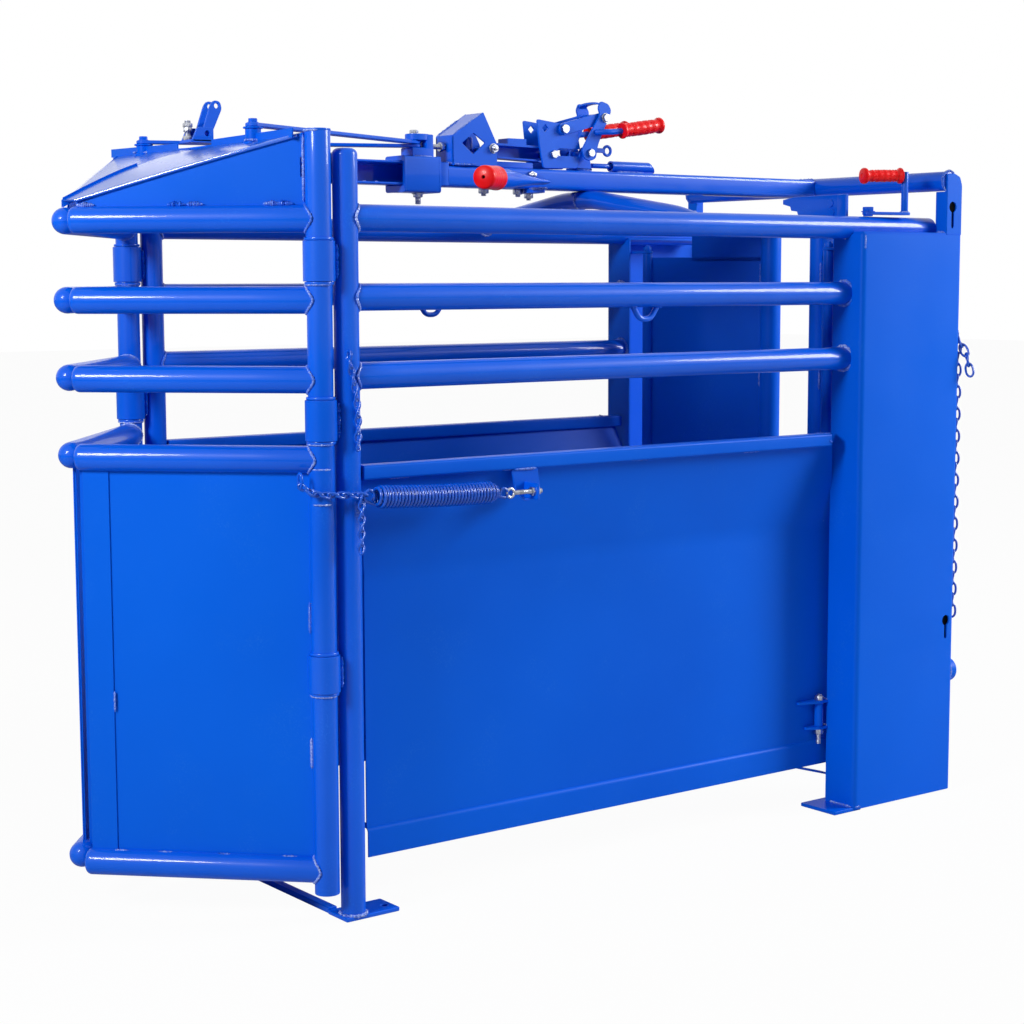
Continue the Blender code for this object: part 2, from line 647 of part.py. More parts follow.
def slide_works(slide, near_link, far_link):
    """The sleeve on the slide rail with its link clevis, and the two door links."""
    body = block((-0.036, 0.374, 1.404), (0.036, 0.467, 1.479))
    bore = block((-0.0295, 0.36, 1.4176), (0.0295, 0.48, 1.4696))
    floor = block((-0.022, 0.404, 1.4785), (0.022, 0.459, 1.4980))
    roof = block((-0.022, 0.404, 1.5137), (0.022, 0.459, 1.5270))
    back = block((-0.022, 0.441, 1.4785), (0.022, 0.459, 1.5270))
    pin = bar((0, PIN_Y, 1.490), (0, PIN_Y, 1.520), 0.0070, sides=12)
    screw = bar((0, 0.450, 1.5025), (0, 0.4895, 1.5025), 0.0055, sides=10)
    head = bar((0, 0.4880, 1.5025), (0, 0.4985, 1.5025), 0.0105, sides=6)
    stud = bar((0, 0.432, 1.3800), (0, 0.432, 1.4100), 0.0065, sides=10)
    nut = bar((0, 0.432, 1.3880), (0, 0.432, 1.3985), 0.0110, sides=6)
    node("slide_sleeve", slide, BLUE, [body, floor, roof, back, pin, screw, head, stud, nut], [bore])
    for side, parent in ((1, near_link), (-1, far_link)):
        low = LINK_Z[side]
        outline = stadium((0, PIN_Y), (side * BOSS[0], BOSS[1]), 0.0145)
        strap = floor_plate(outline, low, low + LINK_T)
        cap = bar((side * BOSS[0], BOSS[1], low + 0.004), (side * BOSS[0], BOSS[1], low + 0.0150), 0.0100, sides=6)
        eye = bar((0, PIN_Y, low - 0.01), (0, PIN_Y, low + 0.02), 0.0074, sides=12)
        node(f"{side_name(side)}_link", parent, BLUE, [strap, cap], [eye])


def catch_works(sear):
    """The catch housing on the spine and the sear bar and cam plates behind it, which slide together."""
    outline = [(0.5026, 1.4650), (0.6190, 1.4650), (0.6186, 1.5120), (0.5820, 1.5785), (0.5026, 1.5270)]
    diamond = [(0.525, 1.5105), (0.555, 1.533), (0.587, 1.513), (0.555, 1.4875)]
    pieces = [
        block((-0.0330, 0.5030, 1.4629), (0.0330, 0.6180, 1.4682)),
        block((-0.0330, 0.5026, 1.4650), (0.0330, 0.5076, 1.5270)),
        side_plate(outline, 0.0285, 0.0335),
        side_plate(outline, -0.0335, -0.0285),
        bar((-0.0400, 0.6080, 1.5020), (0.0400, 0.6080, 1.5020), 0.0055, sides=10),
        bar((0.0330, 0.6080, 1.5020), (0.0420, 0.6080, 1.5020), 0.0100, sides=6),
        bar((0, 0.560, 1.4660), (0, 0.560, 1.5250), 0.0130, sides=14),
        block((-0.0170, 0.6100, 1.4629), (0.0170, 0.7300, 1.4760)),
        side_plate([(0.5030, 1.5225), (0.5030, 1.5272), (0.5800, 1.5768), (0.5835, 1.5738)], -0.0300, 0.0300),
    ]
    cuts = [side_plate(diamond, -0.05, -0.02), side_plate(diamond, 0.02, 0.05)]
    node("catch_housing", ORIGIN, BLUE, pieces, cuts)
    bar_out = [(0.6300, 1.4830), (0.7680, 1.4780), (0.7680, 1.5120), (0.7110, 1.5140), (0.7110, 1.5270)]
    bar_out += [(0.6590, 1.5270), (0.6590, 1.5150), (0.6300, 1.5155)]
    solid = side_plate(bar_out, -0.0180, 0.0180)
    hollow = side_plate([(0.62, 1.4870), (0.78, 1.4820), (0.78, 1.5080), (0.62, 1.5110)], -0.0130, 0.0250)
    node("sear_bar", sear, BLUE, [solid], [hollow])
    plate = [(0.7330, 1.5710), (0.7400, 1.5145), (0.7510, 1.4645), (0.8480, 1.4670), (0.8570, 1.5080)]
    plate += [(0.8450, 1.5560), (0.7995, 1.5640)]
    pins = [
        bar((-CAM_OUT - 0.0055, 0.7800, 1.4960), (CAM_OUT + 0.0055, 0.7800, 1.4960), 0.0060, sides=10),
        bar((-TOGGLE_OUT, *TOGGLE_PIN), (TOGGLE_OUT, *TOGGLE_PIN), 0.0060, sides=10),
        bar((CAM_OUT - 0.0005, 0.7800, 1.4960), (CAM_OUT + 0.0065, 0.7800, 1.4960), 0.0100, sides=6),
    ]
    slot = [(0.794, 1.4930), (0.870, 1.4930), (0.870, 1.5095), (0.794, 1.5095), (0.788, 1.5012)]
    cuts = [side_plate(slot, 0.02, 0.05), side_plate(slot, -0.05, -0.02)]
    small = [(0.747, 1.552), (0.756, 1.561), (0.765, 1.552), (0.756, 1.543)]
    cuts += [side_plate(small, 0.02, 0.05), side_plate(small, -0.05, -0.02)]
    near, far = side_plate(plate, CAM_IN, CAM_OUT), side_plate(plate, -CAM_OUT, -CAM_IN)
    node("cam_plates", sear, BLUE, [near, far, *pins], cuts)


def handle_works(handle, toggle):
    """The handle's lug, strap, two grips and toggle link, with the guide tube behind."""
    y, z = HANDLE_PIVOT
    cheek = [(y - 0.022, 1.4630), (y + 0.022, 1.4630), (y + 0.012, z + 0.012), (y - 0.012, z + 0.012)]
    lug = [block((-0.0200, y - 0.022, 1.4630), (0.0200, y + 0.022, 1.4690))]
    lug += [side_plate(cheek, 0.0140, 0.0200), side_plate(cheek, -0.0200, -0.0140)]
    lug += [bar((-0.0480, y, z), (0.0480, y, z), 0.0060, sides=10)]
    node("handle_lug", ORIGIN, BLUE, lug)
    tube = bar((0, 0.9660, 1.4763), (0, 1.1050, 1.4763), 0.0122, sides=14)
    rod = bar((0, 0.9100, 1.4763), (0, 0.9700, 1.4763), 0.0055, sides=10)
    ring = turned([(0.0065, 0), (0.0138, 0), (0.0138, 0.006), (0.0065, 0.006), (0.0065, 0)], (-0.003, 0.9565, 1.5110), (1, 0, 0))
    stem = block((-0.003, 0.9480, 1.4790), (0.003, 0.9640, 1.5010))
    saddle = block((-0.0060, 0.9800, 1.4629), (0.0060, 1.0900, 1.4700))
    node("guide_tube", ORIGIN, BLUE, [tube, saddle, rod, stem, ring])
    strap = [(0.849, 1.507), (0.858, 1.4875), (0.874, 1.4835), (0.890, 1.4900), (0.8966, 1.521)]
    strap += [(0.9330, 1.5925), (0.9340, 1.6000), (0.9260, 1.6120), (0.9036, 1.6176), (0.8960, 1.602)]
    strap += [(0.9020, 1.587), (0.878, 1.552)]
    pieces = [
        side_plate(strap, 0.0365, 0.0415),
        side_plate(strap, -0.0415, -0.0365),
        block((-0.0400, 0.9060, 1.6100), (0.0400, 0.9260, 1.6150)),
        bar((-0.0460, *HANDLE_BOLT), (0.0460, *HANDLE_BOLT), 0.0060, sides=10),
        bar((0.0410, *HANDLE_BOLT), (0.0500, *HANDLE_BOLT), 0.0100, sides=6),
    ]
    for sign in (1, -1):
        arm = [(sign * 0.040, 0.8900, 1.5480), (sign * 0.060, 0.9120, 1.5480), (sign * 0.060, 0.9480, 1.5522)]
        pieces.append(swept(arm, 0.0065, sides=8))
    hole = bar((-0.06, y, z), (0.06, y, z), 0.0064, sides=10)
    node("handle_strap", handle, BLUE, pieces, [hole])
    for sign, label in ((1, "near"), (-1, "far")):
        profile = [(0, 0.0004), (0.0195, 0.0004), (0.0195, 0.004), (0.0160, 0.008), (0.0150, 0.050)]
        profile += [(0.0165, 0.075), (0.0150, 0.105), (0.0180, 0.120), (0.0180, 0.126), (0, 0.128)]
        start = Vector((sign * 0.060, 0.9484, 1.5522))
        grip = turned(profile, start, (0, 0.9890, 0.1480), sides=14)
        node(f"{label}_grip", handle, RED, [grip])
    outline = stadium(TOGGLE_PIN, HANDLE_BOLT, 0.0130)
    link = [side_plate(outline, TOGGLE_IN, TOGGLE_OUT), side_plate(outline, -TOGGLE_OUT, -TOGGLE_IN)]
    link.append(bar((-TOGGLE_IN - 0.001, *HANDLE_BOLT), (TOGGLE_IN + 0.001, *HANDLE_BOLT), 0.0110, sides=12))
    eyes = [bar((-0.05, *TOGGLE_PIN), (0.05, *TOGGLE_PIN), 0.0088, sides=12)]
    eyes.append(bar((-0.05, *HANDLE_BOLT), (0.05, *HANDLE_BOLT), 0.0066, sides=12))
    node("toggle_link", toggle, BLUE, link, eyes)


def lever_works(lever):
    """The release lever that swings out from under the spine."""
    y = LEVER_PIVOT_Y
    blade = floor_plate([(-0.012, y - 0.014), (0.050, y - 0.030), (0.066, y - 0.004), (0.010, y + 0.014), (-0.012, y + 0.010)], 1.4090, 1.4176)
    screw = bar((0, y, 1.3950), (0, y, 1.4120), 0.0095, sides=6)
    start = Vector((0.0600, y - 0.0160, 1.4320))
    along = Vector((0.5400, -0.8417, -0.0150)).normalized()
    tube = bar(start, start + along * 0.2150, 0.0210)
    node("release_lever", lever, BLUE, [blade, screw, tube])
    profile = [(0, 0.2154), (0.0250, 0.2154), (0.0250, 0.3400), (0.0225, 0.3450), (0, 0.3450)]
    grip = turned(profile, start, along)
    node("lever_grip", lever, RED, [grip])


def nose_latch(latch):
    """The small latch over the hoods: its bracket on the header, and the sprung ears that pivot on it."""
    seat = block((-0.024, -0.018, 1.4524), (0.024, 0.020, 1.4600))
    arm = block((-0.024, -0.120, 1.4850), (0.024, -0.002, 1.4910))
    riser = block((-0.024, -0.008, 1.4590), (0.024, -0.002, 1.4905))
    stand = side_plate([(-0.118, 1.4900), (-0.070, 1.4900), (-0.070, 1.5180), (-0.105, 1.5180)], -0.024, -0.018)
    stand_2 = side_plate([(-0.118, 1.4900), (-0.070, 1.4900), (-0.070, 1.5180), (-0.105, 1.5180)], 0.018, 0.024)
    stud = bar((-0.012, -0.108, 1.4900), (-0.012, -0.108, 1.5330), 0.0065, sides=10)
    node("latch_bracket", ORIGIN, BLUE, [seat, riser, arm, stand, stand_2, stud])
    pin = bar((-0.0172, -0.084, 1.5060), (0.0172, -0.084, 1.5060), 0.0050, sides=12)
    coil = turned([(0, 0), (0.0120, 0), (0.0120, 0.020), (0, 0.020)], (-0.010, -0.084, 1.5060), (1, 0, 0), 14)
    ear = [(-0.094, 1.498), (-0.074, 1.496), (-0.046, 1.5480), (-0.058, 1.5560), (-0.070, 1.5500)]
    ears = [side_plate(ear, 0.0110, 0.0160), side_plate(ear, -0.0160, -0.0110)]
    bridge = bar((-0.0168, -0.0610, 1.5430), (0.0168, -0.0610, 1.5430), 0.0033, sides=9)
    node("nose_latch", latch, BLUE, [ears[0], bridge, ears[1], pin, coil])


def gate_works(crank, near_gate, far_gate):
    """The tail gate: two sheet leaves on pivot bolts, and the crank over the near housing."""
    px, py = CRANK_PIVOT
    tip = (px + 0.019, py + 0.100)
    arm = floor_plate(stadium((px, py), tip, 0.0130), 1.3640, 1.3705)
    foot = bar((px, py, 1.3604), (px, py, 1.3660), 0.0110, sides=12)
    head = bar((px, py, 1.3700), (px, py, 1.3800), 0.0100, sides=6)
    post = bar((*tip, 1.3650), (*tip, 1.4560), 0.0080, sides=10)
    node("crank_arm", crank, BLUE, [arm, foot, head, post])
    start = Vector((*tip, 1.4480))
    along = Vector((-0.0334, -0.1000, 0.0080)).normalized()
    profile = [(0, 0.0085), (0.0190, 0.0085), (0.0190, 0.013), (0.0150, 0.018), (0.0155, 0.070)]
    profile += [(0.0150, 0.118), (0.0200, 0.127), (0.0200, 0.132), (0, 0.135)]
    grip = turned(profile, start, along, sides=14)
    node("crank_grip", crank, RED, [grip])
    for side, parent in ((1, near_gate), (-1, far_gate)):
        pivot, edge = Vector((*GATE_PIVOT, 0)), Vector((*GATE_EDGE, 0))
        way = (edge - pivot).normalized()
        across = Vector((way.y, -way.x, 0))
        tube = bar((*GATE_EDGE, 0.145), (*GATE_EDGE, 1.3650), RAIL_R)
        barrel = bar((*GATE_PIVOT, 0.2364), (*GATE_PIVOT, 1.2846), 0.0120, sides=12)
        pin = bar((*GATE_PIVOT, 0.137), (*GATE_PIVOT, 1.3050), 0.0060, sides=10)
        nut = bar((*GATE_PIVOT, 0.1300), (*GATE_PIVOT, 0.1400), 0.0110, sides=6)
        cap = bar((*GATE_PIVOT, 1.2916), (*GATE_PIVOT, 1.3010), 0.0110, sides=6)
        spacer = bar((*GATE_PIVOT, 0.1769), (*GATE_PIVOT, 0.2296), 0.0100, sides=12)
        fold = pivot.lerp(edge, 0.42) + across * 0.020
        low, high = Vector((0, 0, 0.250)), Vector((0, 0, 1.275))
        first = slab([pivot + low, fold + low, fold + high, pivot + high], SHEET)
        inset = Vector((0, 0, 0.0007))
        back = fold - (edge - fold).normalized() * 0.0045
        second = slab([back + low + inset, edge + low + inset, edge + high - inset, back + high - inset], SHEET)
        pieces = [tube, first, second, barrel, pin, nut, cap, spacer]
        node(f"{side_name(side)}_gate_leaf", parent, BLUE, mirrored(pieces, side))
    low_z, inner = 1.3454, 0.013
    seat_r = RAIL_R + 2 * GAP
    turns = (math.asin((low_z - TOP_RAIL_Z) / seat_r), math.acos(inner / seat_r))
    saddle = [(seat_r * math.cos(t), TOP_RAIL_Z + seat_r * math.sin(t)) for t in (turns[0], sum(turns) / 2, turns[1])]
    step = [(0.224, 1.405), (0.224, 1.380), (0.189, 1.380), (0.189, 1.362), (0.154, 1.362), (0.154, low_z)]
    step += [*saddle, (inner, 1.3700), (0.034, 1.4100), (0.189, 1.4100)]
    y = HOUSING_FRONT + 0.029
    node("stepped_plate", ORIGIN, BLUE, [slab([(HALF - inward, y, z) for inward, z in step], PLATE)])


def build():
    """Every part, in the order in which the chute is welded and assembled."""
    for side in (1, -1):
        frame_post(side)
        side_rail(side, "top", TOP_RAIL_Z, EAR_FRONT - RAIL_SEAT, 0)
        side_rail(side, "second", SECOND_RAIL_Z, HOUSING_FRONT - GAP, 0.735)
        side_rail(side, "third", THIRD_RAIL_Z, HOUSING_FRONT - GAP, 0)
        side_panel(side)
        rear_housing(side)
        spring_bracket(side)
        door_spring(side)
    front_crossings()
    overhead_frame()
    hanging_chains()
    near_door = empty("near_door_axis", (HALF, HINGE_Y, 0), ORIGIN)
    far_door = empty("far_door_axis", (-HALF, HINGE_Y, 0), ORIGIN)
    door_works(1, near_door, NEAR_DIR, NEAR_REACH)
    door_works(-1, far_door, FAR_DIR, FAR_REACH)
    near_chain = empty("near_chain_axis", (*CHAIN_EYE, CHAIN_Z), near_door)
    far_chain = empty("far_chain_axis", (-CHAIN_EYE[0], CHAIN_EYE[1], CHAIN_Z), far_door)
    door_chain(1, near_chain)
    door_chain(-1, far_chain)
    slide = empty("slide_axis", (0, PIN_Y, 1.445), ORIGIN)
    near_link = empty("near_link_axis", (0, PIN_Y, LINK_Z[1]), slide)
    far_link = empty("far_link_axis", (0, PIN_Y, LINK_Z[-1]), slide)
    slide_works(slide, near_link, far_link)
    sear = empty("sear_axis", (0, SEAR_Y, 1.4995), ORIGIN)
    catch_works(sear)
    handle = empty("handle_axis", (0, *HANDLE_PIVOT), ORIGIN)
    toggle = empty("toggle_axis", (0, *HANDLE_BOLT), handle)
    handle_works(handle, toggle)
    lever_works(empty("lever_axis", (0, LEVER_PIVOT_Y, 1.4176), ORIGIN))
    nose_latch(empty("latch_axis", (0, -0.084, 1.5060), ORIGIN))
    crank = empty("crank_axis", (*CRANK_PIVOT, 1.3640), ORIGIN)
    near_gate = empty("near_gate_axis", (*GATE_PIVOT, 0.2364), ORIGIN)
    far_gate = empty("far_gate_axis", (-GATE_PIVOT[0], GATE_PIVOT[1], 0.2364), ORIGIN)
    gate_works(crank, near_gate, far_gate)


build()
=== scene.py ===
"""Looks of the roping chute: a welded blue steel chute with sprung release doors and an overhead trigger.

Lengths are metres. Places are written from the frame posts (y = 0), the chute's middle (x = 0) and the floor
(z = 0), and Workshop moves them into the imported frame. Shapes are grids worked out with numpy.
"""

from __future__ import annotations

import json
import logging
import math
from dataclasses import dataclass, field
from enum import Enum

import bmesh
import bpy
import numpy as np
from mathutils import Matrix, Vector
from mathutils.geometry import tessellate_polygon

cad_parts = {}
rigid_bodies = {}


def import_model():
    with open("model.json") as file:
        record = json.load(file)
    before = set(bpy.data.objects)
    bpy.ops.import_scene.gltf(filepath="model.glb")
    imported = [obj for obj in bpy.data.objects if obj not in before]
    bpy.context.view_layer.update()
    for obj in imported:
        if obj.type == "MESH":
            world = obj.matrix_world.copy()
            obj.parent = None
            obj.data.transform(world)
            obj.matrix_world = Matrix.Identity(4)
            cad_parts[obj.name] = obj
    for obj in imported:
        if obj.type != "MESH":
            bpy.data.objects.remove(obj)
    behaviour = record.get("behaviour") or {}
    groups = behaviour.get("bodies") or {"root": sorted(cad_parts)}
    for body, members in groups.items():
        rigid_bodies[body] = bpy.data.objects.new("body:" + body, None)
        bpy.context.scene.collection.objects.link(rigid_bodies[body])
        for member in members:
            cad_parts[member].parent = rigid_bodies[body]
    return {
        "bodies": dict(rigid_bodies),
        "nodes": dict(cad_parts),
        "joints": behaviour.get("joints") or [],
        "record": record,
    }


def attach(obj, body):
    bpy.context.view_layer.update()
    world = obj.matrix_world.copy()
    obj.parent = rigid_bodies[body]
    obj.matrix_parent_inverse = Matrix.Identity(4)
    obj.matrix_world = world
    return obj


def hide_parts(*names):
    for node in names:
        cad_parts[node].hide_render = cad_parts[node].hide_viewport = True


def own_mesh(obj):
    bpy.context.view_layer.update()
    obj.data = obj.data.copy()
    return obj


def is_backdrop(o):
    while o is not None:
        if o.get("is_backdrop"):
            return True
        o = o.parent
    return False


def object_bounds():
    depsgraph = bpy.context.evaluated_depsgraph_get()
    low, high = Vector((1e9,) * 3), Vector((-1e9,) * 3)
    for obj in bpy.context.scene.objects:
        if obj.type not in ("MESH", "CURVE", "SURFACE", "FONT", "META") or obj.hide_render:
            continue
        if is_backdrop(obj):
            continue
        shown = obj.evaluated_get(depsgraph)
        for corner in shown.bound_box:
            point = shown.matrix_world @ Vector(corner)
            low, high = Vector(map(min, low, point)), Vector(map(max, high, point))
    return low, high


LOG = logging.getLogger("roping_chute")
ACROSS, BACK, UP, DOWN = (1, 0, 0), (0, 1, 0), (0, 0, 1), (0, 0, -1)
Pair = tuple[float, float]
Triple = tuple[float, float, float]
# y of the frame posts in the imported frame
POST_LINE_Y = -0.6387
# Degrees above which an edge stays sharp
SHARP = 38.0


class Side(Enum):
    """The two sides of the chute, as the sign of x."""

    NEAR = 1
    FAR = -1

    @property
    def label(self) -> str:
        """The word that starts the side's node names."""
        return self.name.lower()


class Slot(Enum):
    """The record's material slots."""

    BLUE = "blue_paint"
    RED = "red_grip"
    ZINC = "bright_zinc"


# Finishes


def _mix(tree: bpy.types.NodeTree, low: tuple, high: tuple, scale: float,
         spread: float) -> bpy.types.NodeSocket:
    """A colour that drifts between two with a cloudy noise over the object's own coordinates.

    Args:
        tree: the material's nodes.
        low: the colour where the noise is low.
        high: the colour where it is high.
        scale: clouds per metre.
        spread: half the width of the noise's ramp.

    Returns:
        The colour's output socket.
    """
    ramp = tree.nodes.new("ShaderNodeValToRGB")
    ramp.color_ramp.elements[0].position = 0.5 - spread
    ramp.color_ramp.elements[1].position = 0.5 + spread
    ramp.color_ramp.elements[0].color = (*low, 1.0)
    ramp.color_ramp.elements[1].color = (*high, 1.0)
    tree.links.new(_noise(tree, scale, 3.0), ramp.inputs["Fac"])
    return ramp.outputs["Color"]


def _noise(tree: bpy.types.NodeTree, scale: float, detail: float) -> bpy.types.NodeSocket:
    """A noise over the object's own coordinates.

    Args:
        tree: the material's nodes.
        scale: grains per metre.
        detail: how many finer layers it has.

    Returns:
        The noise's factor socket.
    """
    where = tree.nodes.new("ShaderNodeTexCoord")
    noise = tree.nodes.new("ShaderNodeTexNoise")
    noise.inputs["Scale"].default_value = scale
    noise.inputs["Detail"].default_value = detail
    tree.links.new(where.outputs["Object"], noise.inputs["Vector"])
    return noise.outputs["Fac"]


def _ranged(tree: bpy.types.NodeTree, value: bpy.types.NodeSocket, low: float,
            high: float) -> bpy.types.NodeSocket:
    """A 0.3 to 0.7 factor carried onto another range.

    Args:
        tree: the material's nodes.
        value: the factor's socket.
        low: what 0.3 becomes.
        high: what 0.7 becomes.

    Returns:
        The carried value's socket.
    """
    node = tree.nodes.new("ShaderNodeMapRange")
    node.inputs["From Min"].default_value = 0.3
    node.inputs["From Max"].default_value = 0.7
    node.inputs["To Min"].default_value = low
    node.inputs["To Max"].default_value = high
    tree.links.new(value, node.inputs["Value"])
    return node.outputs["Result"]


@dataclass(frozen=True)
class Finish:
    """A surface: its two drifting colours, gloss, fine bump and how metallic it is.

    Attributes:
        name: the material's name.
        low: darker linear colour of the drift.
        high: lighter linear colour of the drift.
        cloud: clouds per metre of the drift.
        rough: lowest and highest roughness.
        bump_scale: bumps per metre.
        bump_height: bump distance in metres.
        metallic: 0 for paint, 1 for bare metal.
        coat: weight of the clear top layer.
        edge: linear colour of the flecks, or None: rubbed wear on painted parts, and on welds a painted
            highlight of pale glints.
        edge_share: how strongly the flecks show.
        specular: the bare layer's shine.
        edge_start: how rare the flecks are, rarer when lower.
        coat_rough: roughness of the clear top layer.
        slot: the record's slot that it belongs to, not used.
    """

    name: str
    low: Triple
    high: Triple
    cloud: float
    rough: Pair
    bump_scale: float
    bump_height: float
    metallic: float = 0.0
    coat: float = 0.0
    edge: Triple | None = None
    edge_share: float = 0.5
    specular: float = 0.5
    edge_start: float = -1.4
    coat_rough: float = 0.12
    slot: Slot = Slot.BLUE

    def made(self) -> bpy.types.Material:
        """The material, made once.

        Returns:
            The node material with this finish's name.
        """
        found = bpy.data.materials.get(self.name)
        if found:
            return found
        material = bpy.data.materials.new(self.name)
        material.use_nodes = True
        tree = material.node_tree
        shader = tree.nodes["Principled BSDF"]
        colour = _mix(tree, self.low, self.high, self.cloud, 0.22)
        # Flecks: rubbed wear on paint, and on welds near-white flecks that paint the glints of a highlight.
        if self.edge:
            colour = self._rubbed(tree, colour)
        tree.links.new(colour, shader.inputs["Base Color"])
        gloss = _ranged(tree, _noise(tree, self.cloud * 4.0, 4.0), *self.rough)
        tree.links.new(gloss, shader.inputs["Roughness"])
        bump = tree.nodes.new("ShaderNodeBump")
        bump.inputs["Strength"].default_value = 1.0
        bump.inputs["Distance"].default_value = self.bump_height
        tree.links.new(_noise(tree, self.bump_scale, 2.0), bump.inputs["Height"])
        tree.links.new(bump.outputs["Normal"], shader.inputs["Normal"])
        shader.inputs["Metallic"].default_value = self.metallic
        shader.inputs["Specular IOR Level"].default_value = self.specular
        shader.inputs["Coat Weight"].default_value = self.coat
        shader.inputs["Coat Roughness"].default_value = self.coat_rough
        return material

    def _rubbed(self, tree: bpy.types.NodeTree, colour: bpy.types.NodeSocket) -> bpy.types.NodeSocket:
        """The colour with flecks where a coarse and a fine noise are both high: paint wear, painted weld
        glints.

        Args:
            tree: the material's nodes.
            colour: the colour under the flecks.

        Returns:
            The mixed colour's socket.
        """
        coarse = _ranged(tree, _noise(tree, 9.0, 2.0), self.edge_start, 1.0)
        fine = _ranged(tree, _noise(tree, 260.0, 4.0), self.edge_start + 0.2, 1.0)
        both = tree.nodes.new("ShaderNodeMath")
        both.operation = "MULTIPLY"
        both.use_clamp = True
        for socket, value in zip(both.inputs, (coarse, fine)):
            clamped = tree.nodes.new("ShaderNodeMath")
            clamped.operation = "MULTIPLY"
            clamped.use_clamp = True
            clamped.inputs[1].default_value = self.edge_share
            tree.links.new(value, clamped.inputs[0])
            tree.links.new(clamped.outputs[0], socket)
        mixed = tree.nodes.new("ShaderNodeMix")
        mixed.data_type = "RGBA"
        mixed.inputs["B"].default_value = (*self.edge, 1.0)
        tree.links.new(both.outputs[0], mixed.inputs["Factor"])
        tree.links.new(colour, mixed.inputs["A"])
        return mixed.outputs["Result"]


BLUE = Finish("blue_powder_coat", (0.0, 0.092, 0.66), (0.0, 0.115, 0.76), 2.2, (0.3, 0.4), 900.0, 0.00003,
              coat=0.32, edge=(0.02, 0.22, 0.86), specular=0.12, coat_rough=0.07)
BLUE_SHEET = Finish("blue_sheet_coat", (0.0, 0.094, 0.64), (0.0, 0.119, 0.74), 1.3, (0.32, 0.44), 700.0,
                    0.00006,
                    coat=0.0, edge=(0.03, 0.2, 0.74), specular=0.08)
BLUE_COVER = Finish("blue_cover_gloss", (0.0, 0.098, 0.62), (0.0, 0.12, 0.72), 1.6, (0.22, 0.3), 500.0,
                    0.00003,
                    coat=0.32, specular=0.4)
BLUE_BEND = Finish("blue_coat_on_bend", (0.0, 0.1, 0.64), (0.0, 0.122, 0.74), 3.0, (0.05, 0.1), 500.0,
                   0.00002,
                   coat=1.0, specular=0.9, coat_rough=0.05)
# Weld beads: blue, with near-white flecks that paint the glints of a highlight on the rippled bead.
BLUE_WELD = Finish("blue_coat_over_weld", (0.0, 0.08, 0.56), (0.01, 0.14, 0.76), 160.0, (0.16, 0.34), 620.0,
                   0.0005,
                   coat=0.2, edge=(0.62, 0.72, 0.95), edge_share=1.0, specular=0.4, edge_start=-0.2)
BLUE_WIRE = Finish("blue_coat_on_wire", (0.0, 0.066, 0.48), (0.0, 0.1, 0.64), 40.0, (0.18, 0.3), 1400.0,
                   0.00005,
                   coat=0.3, specular=0.4)
RED = Finish("red_vinyl_grip", (0.8, 0.001, 0.002), (0.94, 0.004, 0.006), 24.0, (0.3, 0.42), 1500.0, 0.00003,
             coat=0.12, specular=0.2, slot=Slot.RED)
ZINC = Finish("bright_zinc_bolt", (0.36, 0.38, 0.44), (0.58, 0.6, 0.66), 90.0, (0.22, 0.4), 1100.0, 0.00006,
              metallic=1.0, slot=Slot.ZINC)
# Near-black painted shade, for the inside of a hole and the back of a key slot where only shade shows.
HOLE_PAINTED_SHADE = Finish("shadowed_bore", (0.0015, 0.0015, 0.002), (0.003, 0.003, 0.004), 50.0, (0.7, 0.9), 500.0,
                   0.00005,
                   specular=0.02)


# Shapes


def unit(vector: np.ndarray) -> np.ndarray:
    """The vector, or each row's vector, at length one."""
    vector = np.asarray(vector, float)
    return vector / np.maximum(np.linalg.norm(vector, axis=-1, keepdims=True), 1e-12)


def square_to(axis: np.ndarray) -> np.ndarray:
    """A unit vector at right angles to an axis, level where it can be.

    Args:
        axis: the direction to be square to.

    Returns:
        The unit vector.
    """
    axis = unit(axis)
    other = np.array([0.0, 0.0, 1.0]) if abs(axis[2]) < 0.9 else np.array([1.0, 0.0, 0.0])
    return unit(np.cross(other, axis))


@dataclass
class Form:
    """A bare mesh: its points, quads and triangles."""

    points: np.ndarray
    quads: np.ndarray = field(default_factory=lambda: np.zeros((0, 4), int))
    tris: np.ndarray = field(default_factory=lambda: np.zeros((0, 3), int))

    @staticmethod
    def join(forms: list["Form"]) -> "Form":
        """Several forms as one, their faces renumbered.

        Args:
            forms: the forms.

        Returns:
            The one form.
        """
        starts = np.cumsum([0] + [len(f.points) for f in forms[:-1]])
        return Form(
            np.concatenate([f.points for f in forms]),
            np.concatenate([f.quads + s for f, s in zip(forms, starts)]),
            np.concatenate([f.tris + s for f, s in zip(forms, starts)]),
        )

    def for_side(self, side: Side) -> "Form":
        """The form as it is, or its mirror image in x with its faces turned round.

        Args:
            side: the side that it is wanted for.

        Returns:
            The form for that side.
        """
        if side is Side.NEAR:
            return self
        return Form(self.points * np.array([-1.0, 1.0, 1.0]), self.quads[:, ::-1], self.tris[:, ::-1])


def lofted(rows: np.ndarray) -> Form:
    """A skin over closed rings: row i's point j joins row i+1's point j, and each ring closes on itself.

    Args:
        rows: ring points, (rings, points, 3).

    Returns:
        The skin as quads.
    """
    count, around = rows.shape[:2]
    i, j = np.meshgrid(np.arange(count - 1), np.arange(around), indexing="ij")
    k = (j + 1) % around
    quads = np.stack([i * around + j, i * around + k, (i + 1) * around + k, (i + 1) * around + j], axis=-1)
    return Form(rows.reshape(-1, 3), quads.reshape(-1, 4))


